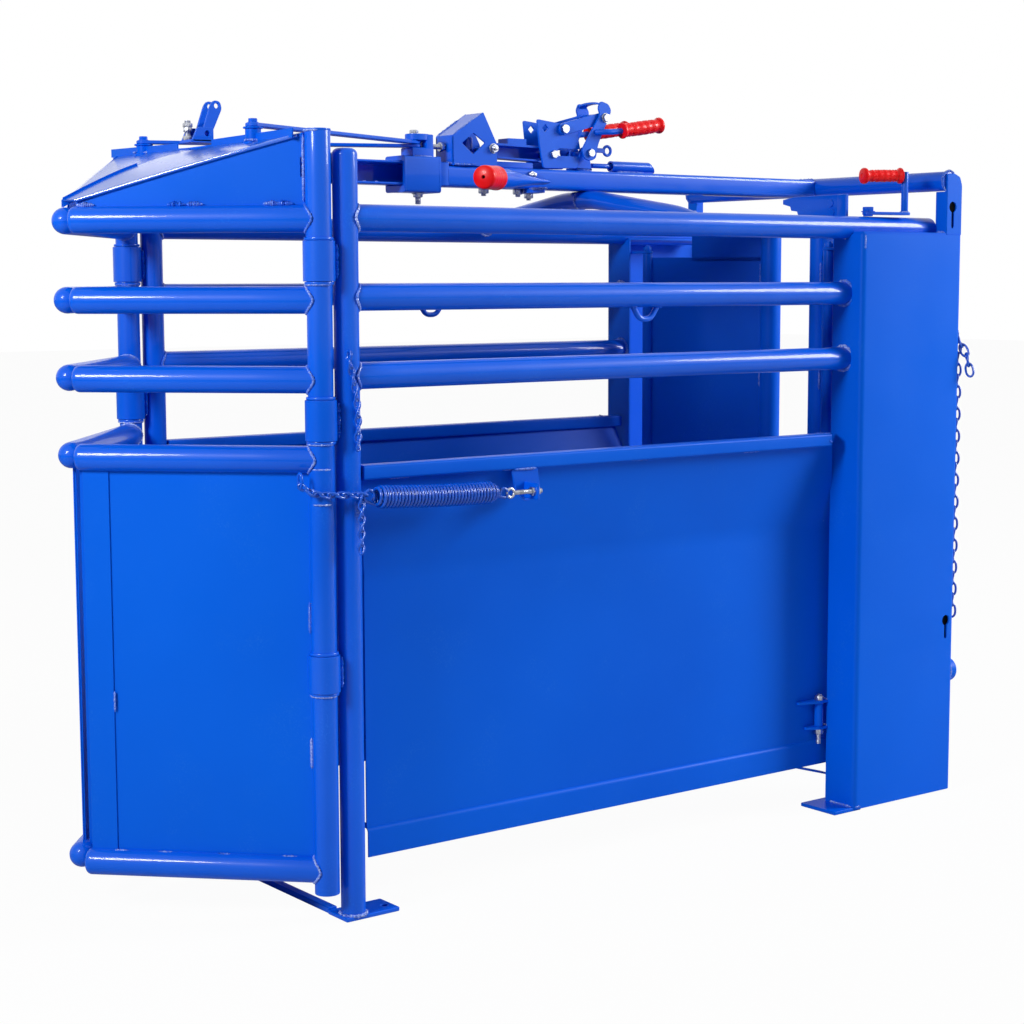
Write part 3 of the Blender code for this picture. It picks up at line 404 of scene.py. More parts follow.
def lathe(profile: list[Pair], foot: tuple, axis: tuple, sides: int = 48) -> Form:
    """A turned solid: each (radius, height) of the profile swept once round the axis.

    Args:
        profile: radius and height from the foot, in order along the surface.
        foot: the axis' start.
        axis: its direction.
        sides: points round the circle.

    Returns:
        The turned skin, closed where the profile meets the axis.
    """
    line = np.array(profile, float)
    along, across = unit(np.array(axis)), square_to(np.array(axis))
    other = np.cross(along, across)
    turn = np.linspace(0.0, 2 * np.pi, sides, endpoint=False)
    circle = np.cos(turn)[:, None] * across + np.sin(turn)[:, None] * other
    rows = np.array(foot) + line[:, 1, None, None] * along + line[:, 0, None, None] * circle
    return lofted(rows)


def rounded_end(radius: float, height: float, soft: float, steps: int = 5) -> list[Pair]:
    """The profile over a bar's end: a quarter round of the soft radius, then in to the axis.

    Args:
        radius: the bar's radius.
        height: where the end is.
        soft: the quarter round's radius.
        steps: points on it.

    Returns:
        Radius and height pairs.
    """
    turn = np.linspace(0.0, np.pi / 2, steps)
    arc = [(radius - soft + soft * math.cos(t), height - soft + soft * math.sin(t)) for t in turn]
    return arc + [(0.0, height)]


def round_bar(start: tuple, end: tuple, radius: float, soft: float = 0.0008, soft_end: float | None = None,
              sides: int = 48) -> Form:
    """A round bar between two points with eased rims, or a domed end where the soft radius is the bar's own.

    Args:
        start: the first end's centre.
        end: the other end's centre.
        radius: the bar's radius.
        soft: the rim's rounding at the start.
        soft_end: the rim's rounding at the end, where it differs.
        sides: points round the bar.

    Returns:
        The closed bar.
    """
    start, end = np.array(start, float), np.array(end, float)
    length = float(np.linalg.norm(end - start))
    head = rounded_end(radius, length, soft if soft_end is None else soft_end, 9 if soft_end else 4)
    foot = [(r, length - h) for r, h in reversed(rounded_end(radius, length, soft, 4))]
    middle = np.linspace(0.0, 1.0, max(2, int(length / 0.08)))[1:-1]
    body = [(radius, foot[-1][1] + m * (head[0][1] - foot[-1][1])) for m in middle]
    return lathe(foot + body + head, tuple(start), tuple(end - start), sides)


def swept(path: np.ndarray, outline: np.ndarray, reference: tuple | None = None, closed: bool = False,
          scale: np.ndarray | None = None) -> Form:
    """An outline carried along a path, square to it, with its first axis across the reference.

    Args:
        path: the path's points, (n, 3).
        outline: the outline's points about the path, (m, 2), anticlockwise.
        reference: a direction that the path never runs along; the path's own plane's normal by default.
        closed: whether the path is a ring.
        scale: the outline's size at each point.

    Returns:
        The swept skin, capped where the path is open.
    """
    path = np.asarray(path, float)
    if closed:
        tangent = unit(np.roll(path, -1, axis=0) - np.roll(path, 1, axis=0))
    else:
        tangent = unit(np.gradient(path, axis=0))
    if reference is None:
        spread = np.linalg.svd(path - path.mean(axis=0))
        reference = spread[2][2] if spread[1][1] > 1e-6 else square_to(tangent[0])
    first = unit(np.cross(tangent, np.broadcast_to(np.array(reference, float), tangent.shape)))
    second = np.cross(tangent, first)
    size = np.ones(len(path)) if scale is None else scale
    flat = outline[None, :, :] * size[:, None, None]
    rows = path[:, None, :] + flat[..., :1] * first[:, None, :] + flat[..., 1:] * second[:, None, :]
    if closed:
        return lofted(np.concatenate([rows, rows[:1]]))
    ends = [np.repeat(path[i][None, None], rows.shape[1], axis=1) for i in (0, -1)]
    return lofted(np.concatenate([ends[0], rows, ends[1]]))


def circle(radius: float, sides: int = 24) -> np.ndarray:
    """A circle's points, anticlockwise."""
    turn = np.linspace(0.0, 2 * np.pi, sides, endpoint=False)
    return radius * np.stack([np.cos(turn), np.sin(turn)], axis=1)


def rod(points: list[tuple] | np.ndarray, radius: float, bend: float = 0.0, sides: int = 24,
        reference: tuple | None = None) -> Form:
    """A round rod along points, its corners eased to the bend radius."""
    path = eased(points, bend) if bend else np.array(points, float)
    return swept(path, circle(radius, sides), reference)


def eased(points: np.ndarray | list, bend: float, closed: bool = False, steps: int = 7) -> np.ndarray:
    """A polyline with each corner replaced by a curve that leaves it a bend's length before the corner.

    The curve is p = (1-t)^2 a + 2t(1-t) corner + t^2 b, with a and b on the two sides of the corner.

    Args:
        points: corners, in two or three dimensions.
        bend: how far from a corner its curve starts, less where a side is short.
        closed: whether the last corner joins the first.
        steps: points in each curve.

    Returns:
        The eased line's points.
    """
    points = np.asarray(points, float)
    count = len(points)
    inner = np.arange(count) if closed else np.arange(1, count - 1)
    corner = points[inner]
    before, after = points[(inner - 1) % count], points[(inner + 1) % count]
    reach_a = np.minimum(bend, 0.48 * np.linalg.norm(before - corner, axis=1))[:, None]
    reach_b = np.minimum(bend, 0.48 * np.linalg.norm(after - corner, axis=1))[:, None]
    a, b = corner + unit(before - corner) * reach_a, corner + unit(after - corner) * reach_b
    t = np.linspace(0.0, 1.0, steps)[None, :, None]
    curves = (1 - t) ** 2 * a[:, None] + 2 * t * (1 - t) * corner[:, None] + t**2 * b[:, None]
    line = curves.reshape(-1, points.shape[1])
    return line if closed else np.concatenate([points[:1], line, points[-1:]])


def capsule(a: tuple, b: tuple, radius: float, steps: int = 12) -> np.ndarray:
    """The outline of a flat bar with round ends, anticlockwise: half circles about a and b.

    Args:
        a: one end's centre.
        b: the other end's centre.
        radius: the bar's half width.
        steps: points on each half circle.

    Returns:
        The outline, (n, 2).
    """
    a, b = np.array(a, float), np.array(b, float)
    start = math.atan2(*(b - a)[::-1])
    turn = np.linspace(-np.pi / 2, np.pi / 2, steps)
    ends = [(b, start + turn), (a, start + np.pi + turn)]
    return np.concatenate([c + radius * np.stack([np.cos(t), np.sin(t)], axis=1) for c, t in ends])


def rounded_rect(low_x: float, low_y: float, high_x: float, high_y: float, corner: float) -> np.ndarray:
    """A rectangle's outline between two corners with eased corners, anticlockwise."""
    flat = [(low_x, low_y), (high_x, low_y), (high_x, high_y), (low_x, high_y)]
    return eased(flat, corner, closed=True, steps=5)


def rounded_box(width: float, height: float, corner: float) -> np.ndarray:
    """A rectangle's outline about its centre with eased corners, anticlockwise."""
    return rounded_rect(-width / 2, -height / 2, width / 2, height / 2, corner)


def inset(outline: np.ndarray, by: float) -> np.ndarray:
    """An outline moved in by a distance: each point goes along the mean of its two sides' normals.

    Args:
        outline: the outline, anticlockwise.
        by: how far its points go in.

    Returns:
        The moved outline.
    """
    side = unit(np.roll(outline, -1, axis=0) - outline)
    normal = np.stack([-side[:, 1], side[:, 0]], axis=1)
    before = np.roll(normal, 1, axis=0)
    share = np.maximum(1.0 + (normal * before).sum(axis=1, keepdims=True), 0.4)
    return outline + by * (normal + before) / share


def wound(outline: np.ndarray) -> np.ndarray:
    """The outline, turned anticlockwise where it isn't.

    Args:
        outline: a closed outline, (n, 2).

    Returns:
        The anticlockwise outline.
    """
    x, y = outline[:, 0], outline[:, 1]
    area = (x * np.roll(y, -1) - y * np.roll(x, -1)).sum()
    return outline if area > 0 else outline[::-1]


@dataclass(frozen=True)
class Plane:
    """Where a flat outline stands: its origin and the directions of its two coordinates."""

    origin: Triple
    across: Triple
    up: Triple

    def placed(self, flat: np.ndarray, depth: float) -> np.ndarray:
        """Flat points in space, so far along the plane's normal."""
        u, v = np.array(self.across, float), np.array(self.up, float)
        return np.array(self.origin) + flat[:, :1] * u + flat[:, 1:] * v + depth * np.cross(u, v)


def plate(outline: np.ndarray | list, thick: float, plane: Plane, holes: tuple = (),
          ease: float = 0.0007) -> Form:
    """A flat plate with eased rims and through holes.

    Each rim is four rings: the outline moved in at a face and the outline just inside it, for both faces.

    Args:
        outline: the outside, in the plane's coordinates.
        thick: thickness along the plane's normal.
        plane: where the plate's first face is.
        holes: outlines of holes.
        ease: size of the eased rim.

    Returns:
        The closed plate.
    """
    rims = [wound(np.array(outline, float))] + [wound(np.array(h, float))[::-1] for h in holes]
    forms, faces = [], []
    for rim in rims:
        moved = inset(rim, ease)
        levels = ((moved, 0.0), (rim, ease), (rim, thick - ease), (moved, thick))
        forms.append(lofted(np.stack([plane.placed(flat, depth) for flat, depth in levels])))
        faces.append(moved)
    flat = np.concatenate(faces)
    tris = np.array(tessellate_polygon([[Vector((*p, 0.0)) for p in face] for face in faces]))
    for depth, order in ((0.0, slice(None, None, -1)), (thick, slice(None))):
        forms.append(Form(plane.placed(flat, depth), tris=tris[:, order]))
    return Form.join(forms)


def upright(outline: np.ndarray | list, low_x: float, high_x: float, holes: tuple = (),
            ease: float = 0.0007) -> Form:
    """A plate of this (y, z) outline standing between two x."""
    return plate(outline, high_x - low_x, Plane((low_x, 0, 0), BACK, UP), holes, ease)


def level(outline: np.ndarray | list, low_z: float, high_z: float, holes: tuple = (),
          ease: float = 0.0007) -> Form:
    """A plate of this (x, y) outline lying between two z."""
    return plate(outline, high_z - low_z, Plane((0, 0, low_z), ACROSS, BACK), holes, ease)


def block(low: tuple, high: tuple, ease: float = 0.001) -> Form:
    """A box between two corners with eased edges."""
    flat = np.array([(low[0], low[1]), (high[0], low[1]), (high[0], high[1]), (low[0], high[1])])
    return level(eased(flat, ease, closed=True, steps=4), low[2], high[2], ease=ease)


def sheet(grid: np.ndarray, thick: float) -> Form:
    """A thin wall over an open grid: the grid, its copy moved along the grid's normals, and the rim.

    Args:
        grid: points, (rows, columns, 3).
        thick: wall thickness, to the side the normals point.

    Returns:
        The closed wall.
    """
    normal = unit(np.cross(np.gradient(grid, axis=0), np.gradient(grid, axis=1)))
    rows, columns = grid.shape[:2]
    i, j = np.meshgrid(np.arange(rows - 1), np.arange(columns - 1), indexing="ij")
    corner = i * columns + j
    under = np.stack([corner, corner + 1, corner + columns + 1, corner + columns], axis=-1).reshape(-1, 4)
    index = np.arange(rows * columns).reshape(rows, columns)
    ring = np.concatenate([index[0, :-1], index[:-1, -1], index[-1, :0:-1], index[:0:-1, 0]])
    ahead = np.roll(ring, -1)
    offset = rows * columns
    rim = np.stack([ring, ahead, ahead + offset, ring + offset], axis=1)
    points = np.concatenate([grid.reshape(-1, 3), (grid + thick * normal).reshape(-1, 3)])
    return Form(points, np.concatenate([under[:, ::-1], under + offset, rim[:, ::-1]]))


def ruled(first: np.ndarray, second: np.ndarray, columns: int = 12) -> np.ndarray:
    """A grid of points between two lines: each row runs straight from one line to the other."""
    share = np.linspace(0.0, 1.0, columns)[None, :, None]
    return first[:, None] * (1 - share) + second[:, None] * share


def at_x(line: np.ndarray, x: float) -> np.ndarray:
    """A flat (y, z) line's points in space, all at this x."""
    return np.column_stack([np.full(len(line), x), line])


def at_y(line: np.ndarray, y: float | np.ndarray) -> np.ndarray:
    """A flat (x, z) line's points in space, at one y or at a y for each point."""
    return np.column_stack([line[:, 0], np.broadcast_to(y, len(line)), line[:, 1]])


def at_z(line: np.ndarray, z: float) -> np.ndarray:
    """A flat (x, y) line's points in space, all at this z."""
    return np.column_stack([line, np.full(len(line), z)])


def weld(start: tuple, end: tuple, radius: float, seed: int) -> Form:
    """A weld bead: a low rod whose radius ripples every 2.5 mm and wanders a little.

    Args:
        start: the bead's first end.
        end: its last end.
        radius: its mean radius.
        seed: picks the ripple's phase.

    Returns:
        The bead.
    """
    start, end = np.array(start, float), np.array(end, float)
    length = float(np.linalg.norm(end - start))
    count = max(12, int(length / 0.0009))
    share = np.linspace(0.0, 1.0, count)[:, None]
    return _rippled(start * (1 - share) + end * share, radius, seed)


def ring_weld(centre: tuple, axis: tuple, at: float, radius: float = 0.0032, seed: int = 1,
              span: Pair = (0.0, 360.0)) -> Form:
    """A bead round a tube: the circle of that radius about the axis, over a span of degrees.

    Args:
        centre: the circle's middle.
        axis: the tube's direction.
        at: the circle's radius.
        radius: the bead's mean radius.
        seed: picks the ripple's phase.
        span: where it starts and ends, in degrees.

    Returns:
        The bead.
    """
    along, across = unit(np.array(axis, float)), square_to(np.array(axis, float))
    turn = np.radians(np.linspace(*span, max(24, int(abs(span[1] - span[0]) * at / 0.05))))[:, None]
    path = np.array(centre) + at * (np.cos(turn) * across + np.sin(turn) * np.cross(along, across))
    return _rippled(path, radius, seed)


def _rippled(path: np.ndarray, radius: float, seed: int) -> Form:
    """A rod along the path whose size follows two sine waves and seeded noise, tapering at both ends.

    Args:
        path: the bead's middle line, (n, 3).
        radius: its mean radius.
        seed: the noise's seed.

    Returns:
        The bead.
    """
    random = np.random.default_rng(seed)
    run = np.concatenate([[0.0], np.cumsum(np.linalg.norm(np.diff(path, axis=0), axis=1))])
    ripple, wander = run / 0.0025 * 2 * np.pi + seed, run / 0.013 * 2 * np.pi + 2 * seed
    wave = 1.0 + 0.16 * np.sin(ripple) + 0.12 * np.sin(wander)
    wave += 0.07 * random.standard_normal(len(run))
    ends = np.clip(np.minimum(run, run[-1] - run) / (2.5 * radius), 0.05, 1.0) ** 0.5
    straight = np.linalg.norm(path[-1] - path[0]) > 0.999 * run[-1]
    reference = square_to(path[-1] - path[0]) if straight else None
    return swept(path, circle(radius, 10), reference, scale=wave * ends)


def six_sided(centre: tuple, axis: tuple, across: float, tall: float, turn: float = 0.0) -> Form:
    """A hexagon nut or head: six sides with the top corners turned off.

    Args:
        centre: the middle of the seat.
        axis: direction from the seat.
        across: distance across the flats.
        tall: height.
        turn: degrees that the flats are turned by.

    Returns:
        The head.
    """
    along, side = unit(np.array(axis, float)), square_to(np.array(axis, float))
    other = np.cross(along, side)
    angle = np.radians(np.arange(0, 360, 10) + turn)
    flat = across / 2 / np.cos((np.degrees(angle) - turn + 30) % 60 * np.pi / 180 - np.pi / 6)
    flat = np.minimum(flat, across / 2 / math.cos(math.pi / 6) * 0.985)
    top = np.minimum(flat, across / 2 * 1.02)
    levels = ((0 * flat, 0.0), (top, 0.0), (flat, 0.08 * tall), (flat, 0.86 * tall), (top * 0.97, tall),
              (0 * flat, tall))
    way = np.outer(np.cos(angle), side) + np.outer(np.sin(angle), other)
    rows = [np.array(centre) + h * along + r[:, None] * way for r, h in levels]
    return lofted(np.stack(rows))


def bolt(seat: tuple, axis: tuple, across: float = 0.017, tall: float = 0.0075, washer: bool = True,
         tail: float = 0.0, turn: float = 0.0) -> Form:
    """A bolt's head on its washer, with an optional threaded tail standing out of it.

    Args:
        seat: the middle of the seat.
        axis: direction from the seat.
        across: distance across the flats.
        tall: the head's height.
        washer: whether a washer lies under it.
        tail: how far a threaded tail stands out of it.
        turn: degrees that the flats are turned by.

    Returns:
        The bolt.
    """
    along = unit(np.array(axis, float))
    foot = np.array(seat, float)
    forms = []
    if washer:
        wide = across * 0.66
        forms.append(lathe([(0, 0), (wide, 0), (wide, 0.0014), (wide - 0.0004, 0.0018), (0, 0.0018)],
                           tuple(foot), axis, 32))
        foot = foot + along * 0.0017
    forms.append(six_sided(tuple(foot), axis, across, tall, turn))
    if tail:
        forms.append(thread(tuple(foot + along * (tall - 0.001)), axis, across * 0.3, tail))
    return Form.join(forms)


def thread(foot: tuple, axis: tuple, radius: float, long: float) -> Form:
    """A threaded stud: the radius rises and falls once each 1.4 mm.

    Args:
        foot: its start.
        axis: its direction.
        radius: its outside radius.
        long: its length.

    Returns:
        The stud.
    """
    height = np.linspace(0.0, long, max(8, int(long / 0.00035)))
    wave = radius - 0.0005 * (0.5 + 0.5 * np.cos(height / 0.0014 * 2 * np.pi))
    profile = [(0.0, 0.0)] + list(zip(wave, height)) + [(radius * 0.75, long + 0.0006), (0.0, long + 0.0006)]
    return lathe(profile, foot, axis, 24)


def wire_eye(centre: Triple, way: Triple, half: Pair, wire: float, sides: int = 12, steps: int = 32) -> Form:
    """An upright oval eye of round wire.

    Args:
        centre: its middle.
        way: the level direction in its plane, ACROSS or BACK.
        half: its middle line's half width and half height.
        wire: wire radius.
        sides: points round the wire.
        steps: points along it.

    Returns:
        The closed eye.
    """
    turn = np.linspace(0.0, 2 * np.pi, steps + 1)[:-1]
    path = np.array(centre) + half[0] * np.outer(np.cos(turn), way) + half[1] * np.outer(np.sin(turn), UP)
    return swept(path, circle(wire, sides), BACK if way == ACROSS else ACROSS, closed=True)


def chain_links(path: np.ndarray, pitch: float, wide: float, wire: float, twist: float = 0.0) -> Form:
    """A chain along a path: one oval link, set at each station and turned a quarter from the last.

    A link is a closed oval in its own plane. One product of it and the stations' axes gives all the links.

    Args:
        path: the chain's line, (n, 3).
        pitch: distance between link centres.
        wide: outside width of a link.
        wire: wire radius.
        twist: extra degrees of turn in each link.

    Returns:
        All the links.
    """
    run = np.concatenate([[0.0], np.cumsum(np.linalg.norm(np.diff(path, axis=0), axis=1))])
    count = max(2, int(round(run[-1] / pitch)))
    at = (np.arange(count) + 0.5) * run[-1] / count
    centre = np.stack([np.interp(at, run, path[:, i]) for i in range(3)], axis=1)
    ahead = np.stack([np.interp(at + pitch / 3, run, path[:, i]) for i in range(3)], axis=1)
    behind = np.stack([np.interp(at - pitch / 3, run, path[:, i]) for i in range(3)], axis=1)
    along = unit(ahead - behind)
    side = unit(np.cross(along, np.broadcast_to(square_to(along.mean(axis=0)), along.shape)))
    other = np.cross(along, side)
    angle = np.radians(45 + 90 * np.arange(count))[:, None]
    first = np.cos(angle) * side + np.sin(angle) * other
    second = np.cross(along, first)
    half, reach = wide / 2 - wire, pitch / 2 + wire * 0.9
    turn = np.linspace(0.0, 2 * np.pi, 28, endpoint=False)
    oval = np.stack([reach * np.sign(np.cos(turn)) * np.abs(np.cos(turn)) ** 0.75, half * np.sin(turn),
                     0 * turn], axis=1)
    skew = np.radians(twist) * oval[:, 0] / reach
    oval = np.stack([oval[:, 0], oval[:, 1] * np.cos(skew), oval[:, 1] * np.sin(skew)], axis=1)
    link = swept(oval, circle(wire, 10), UP, closed=True)
    axes = np.stack([along, first, second], axis=1)
    points = centre[:, None] + np.einsum("pk,lkc->lpc", link.points, axes)
    faces = link.quads[None] + (np.arange(count) * len(link.points))[:, None, None]
    return Form(points.reshape(-1, 3), faces.reshape(-1, 4))


class Workshop:
    """Makes the pieces: meshes from forms, dressed, set on their bodies, in place of their solids."""

    def __init__(self) -> None:
        """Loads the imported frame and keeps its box."""
        self.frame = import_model()
        self.cad_box = [list(map(float, corner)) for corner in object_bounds()]

    def add(self, name: str, forms: list[Form], finish: Finish, body: str, stands_for: str = "",
            angle: float = SHARP, cuts: list[Form] | None = None,
            slot: Slot | None = None) -> bpy.types.Object:
        """One finished piece.

        Args:
            name: the piece's name.
            forms: its shape, from the frame posts.
            finish: its surface.
            body: the body that it rides on.
            stands_for: the solid that it replaces, if any.
            angle: edges sharper than these degrees stay sharp.
            cuts: shapes taken out of it.
            slot: not used.

        Returns:
            The object.
        """
        piece = self._mesh(name, Form.join(forms))
        if cuts:
            self._carve(piece, Form.join(cuts))
        piece.data.shade_smooth()
        piece.data.set_sharp_from_angle(angle=math.radians(angle))
        piece.data.materials.clear()
        piece.data.materials.append(finish.made())
        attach(piece, body)
        if stands_for:
            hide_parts(stands_for)
        LOG.info("%s: %d faces on %s", name, len(piece.data.polygons), body)
        return piece

    def add_sided(self, side: Side, name: str, forms: list[Form], finish: Finish, body: str,
                  stands_for: str = "", angle: float = SHARP, cuts: list[Form] | None = None,
                  ) -> bpy.types.Object:
        """A piece that is written for the near side: named for its side, and turned over for the far one.

        Args:
            side: the side that it is made for.
            name: the piece's name without its side.
            forms: its shape on the near side.
            finish: its surface.
            body: the body that it rides on.
            stands_for: the solid that it replaces, without its side.
            angle: edges sharper than these degrees stay sharp.
            cuts: shapes taken out of it, on the near side.

        Returns:
            The object.
        """
        solid = f"{side.label}_{stands_for}" if stands_for else ""
        turned = [form.for_side(side) for form in forms]
        cutters = [form.for_side(side) for form in cuts or []]
        return self.add(f"{side.label}_{name}", turned, finish, body, solid, angle, cutters)

    def _mesh(self, name: str, form: Form) -> bpy.types.Object:
        """An object of this form, its doubles merged and its faces facing out.

        Args:
            name: the object's name.
            form: its shape, from the frame posts.

        Returns:
            The object.
        """
        mesh = bpy.data.meshes.new(name)
        points = form.points + np.array([0.0, POST_LINE_Y, 0.0])
        mesh.from_pydata(points.tolist(), [], form.quads.tolist() + form.tris.tolist())
        work = bmesh.new()
        work.from_mesh(mesh)
        bmesh.ops.remove_doubles(work, verts=work.verts, dist=1e-6)
        bmesh.ops.dissolve_degenerate(work, edges=work.edges, dist=1e-7)
        bmesh.ops.recalc_face_normals(work, faces=work.faces)
        work.to_mesh(mesh)
        work.free()
        made = bpy.data.objects.new(name, mesh)
        bpy.context.scene.collection.objects.link(made)
        return made

    def _carve(self, piece: bpy.types.Object, cutter_form: Form) -> None:
        """Takes a shape out of a piece and keeps the result as plain mesh.

        Args:
            piece: the piece.
            cutter_form: the shape to take out.
        """
        cutter = self._mesh(piece.name + "_cut", cutter_form)
        change = piece.modifiers.new("Carve", "BOOLEAN")
        change.operation = "DIFFERENCE"
        change.solver = "EXACT"
        change.use_self = True
        change.object = cutter
        graph = bpy.context.evaluated_depsgraph_get()
        result = bpy.data.meshes.new_from_object(piece.evaluated_get(graph))
        piece.modifiers.clear()
        piece.data = result
        bpy.data.objects.remove(cutter)

    def finish(self) -> None:
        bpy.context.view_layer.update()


# Side frames


TUBE_R = 0.0254
POST_R = 0.0238
# x of the posts and rails
HALF = 0.389
POST_TOP = 1.4615
HINGE_Y = -0.058
TOP_RAIL_Z = 1.3345
# Each rail's height, and y of its rear end
RAILS = {"top": (TOP_RAIL_Z, 1.607), "second": (1.1875, 1.3306), "third": (1.041, 1.3306)}
# Each hinge collar's foot and top
COLLARS = ((1.217, 1.2916), (0.9227, 0.9988), (0.4485, 0.5192))
# The gate leaf's pivot, and the link boss on the door's hood, in plan
GATE_PIVOT = (0.315, 1.355)
BOSS = (0.2237, -0.0968)
# Height of each link's foot
LINK_Z = {Side.NEAR: 1.5062, Side.FAR: 1.4985}


def cope_weld(foot: tuple, way: tuple, side: tuple, waves: int, points: int) -> Form:
    """The rippled bead where a rail's end is coped to a post: round the rail, along the post's curve.

    Args:
        foot: where the rail's middle line meets the post's.
        way: the rail's direction.
        side: the level direction across the rail.
        waves: ripples round the bead.
        points: points round the bead.

    Returns:
        The bead.
    """
    turn = np.radians(np.linspace(0, 360, points))
    along = POST_R * np.sqrt(1.0 - (0.96 * np.cos(turn)) ** 2) + 0.001
    around = TUBE_R * (np.outer(np.cos(turn), side) + np.outer(np.sin(turn), UP))
    path = np.array(foot) + np.outer(along, way) + around
    return swept(path, circle(0.0024, 8), way, scale=1 + 0.22 * np.sin(turn * waves))


@dataclass
class Sided:
    """A sub-assembly that is written for the near side and turned over for the far one.

    Attributes:
        shop: the workshop.
        side: which side.
    """

    shop: Workshop
    side: Side

    @property
    def body(self) -> str:
        """The body that its pieces ride on."""
        return "frame"

    def add(self, name: str, forms: list[Form], finish: Finish = BLUE, stands_for: str = "",
            cuts: list[Form] | None = None, angle: float = SHARP) -> None:
        """Adds a piece of this side on its body.

        Args:
            name: the piece's name without its side.
            forms: its shape on the near side.
            finish: its surface.
            stands_for: the solid that it replaces, without its side.
            cuts: shapes taken out of it.
            angle: edges sharper than these degrees stay sharp.
        """
        self.shop.add_sided(self.side, name, forms, finish, self.body, stands_for, angle, cuts)


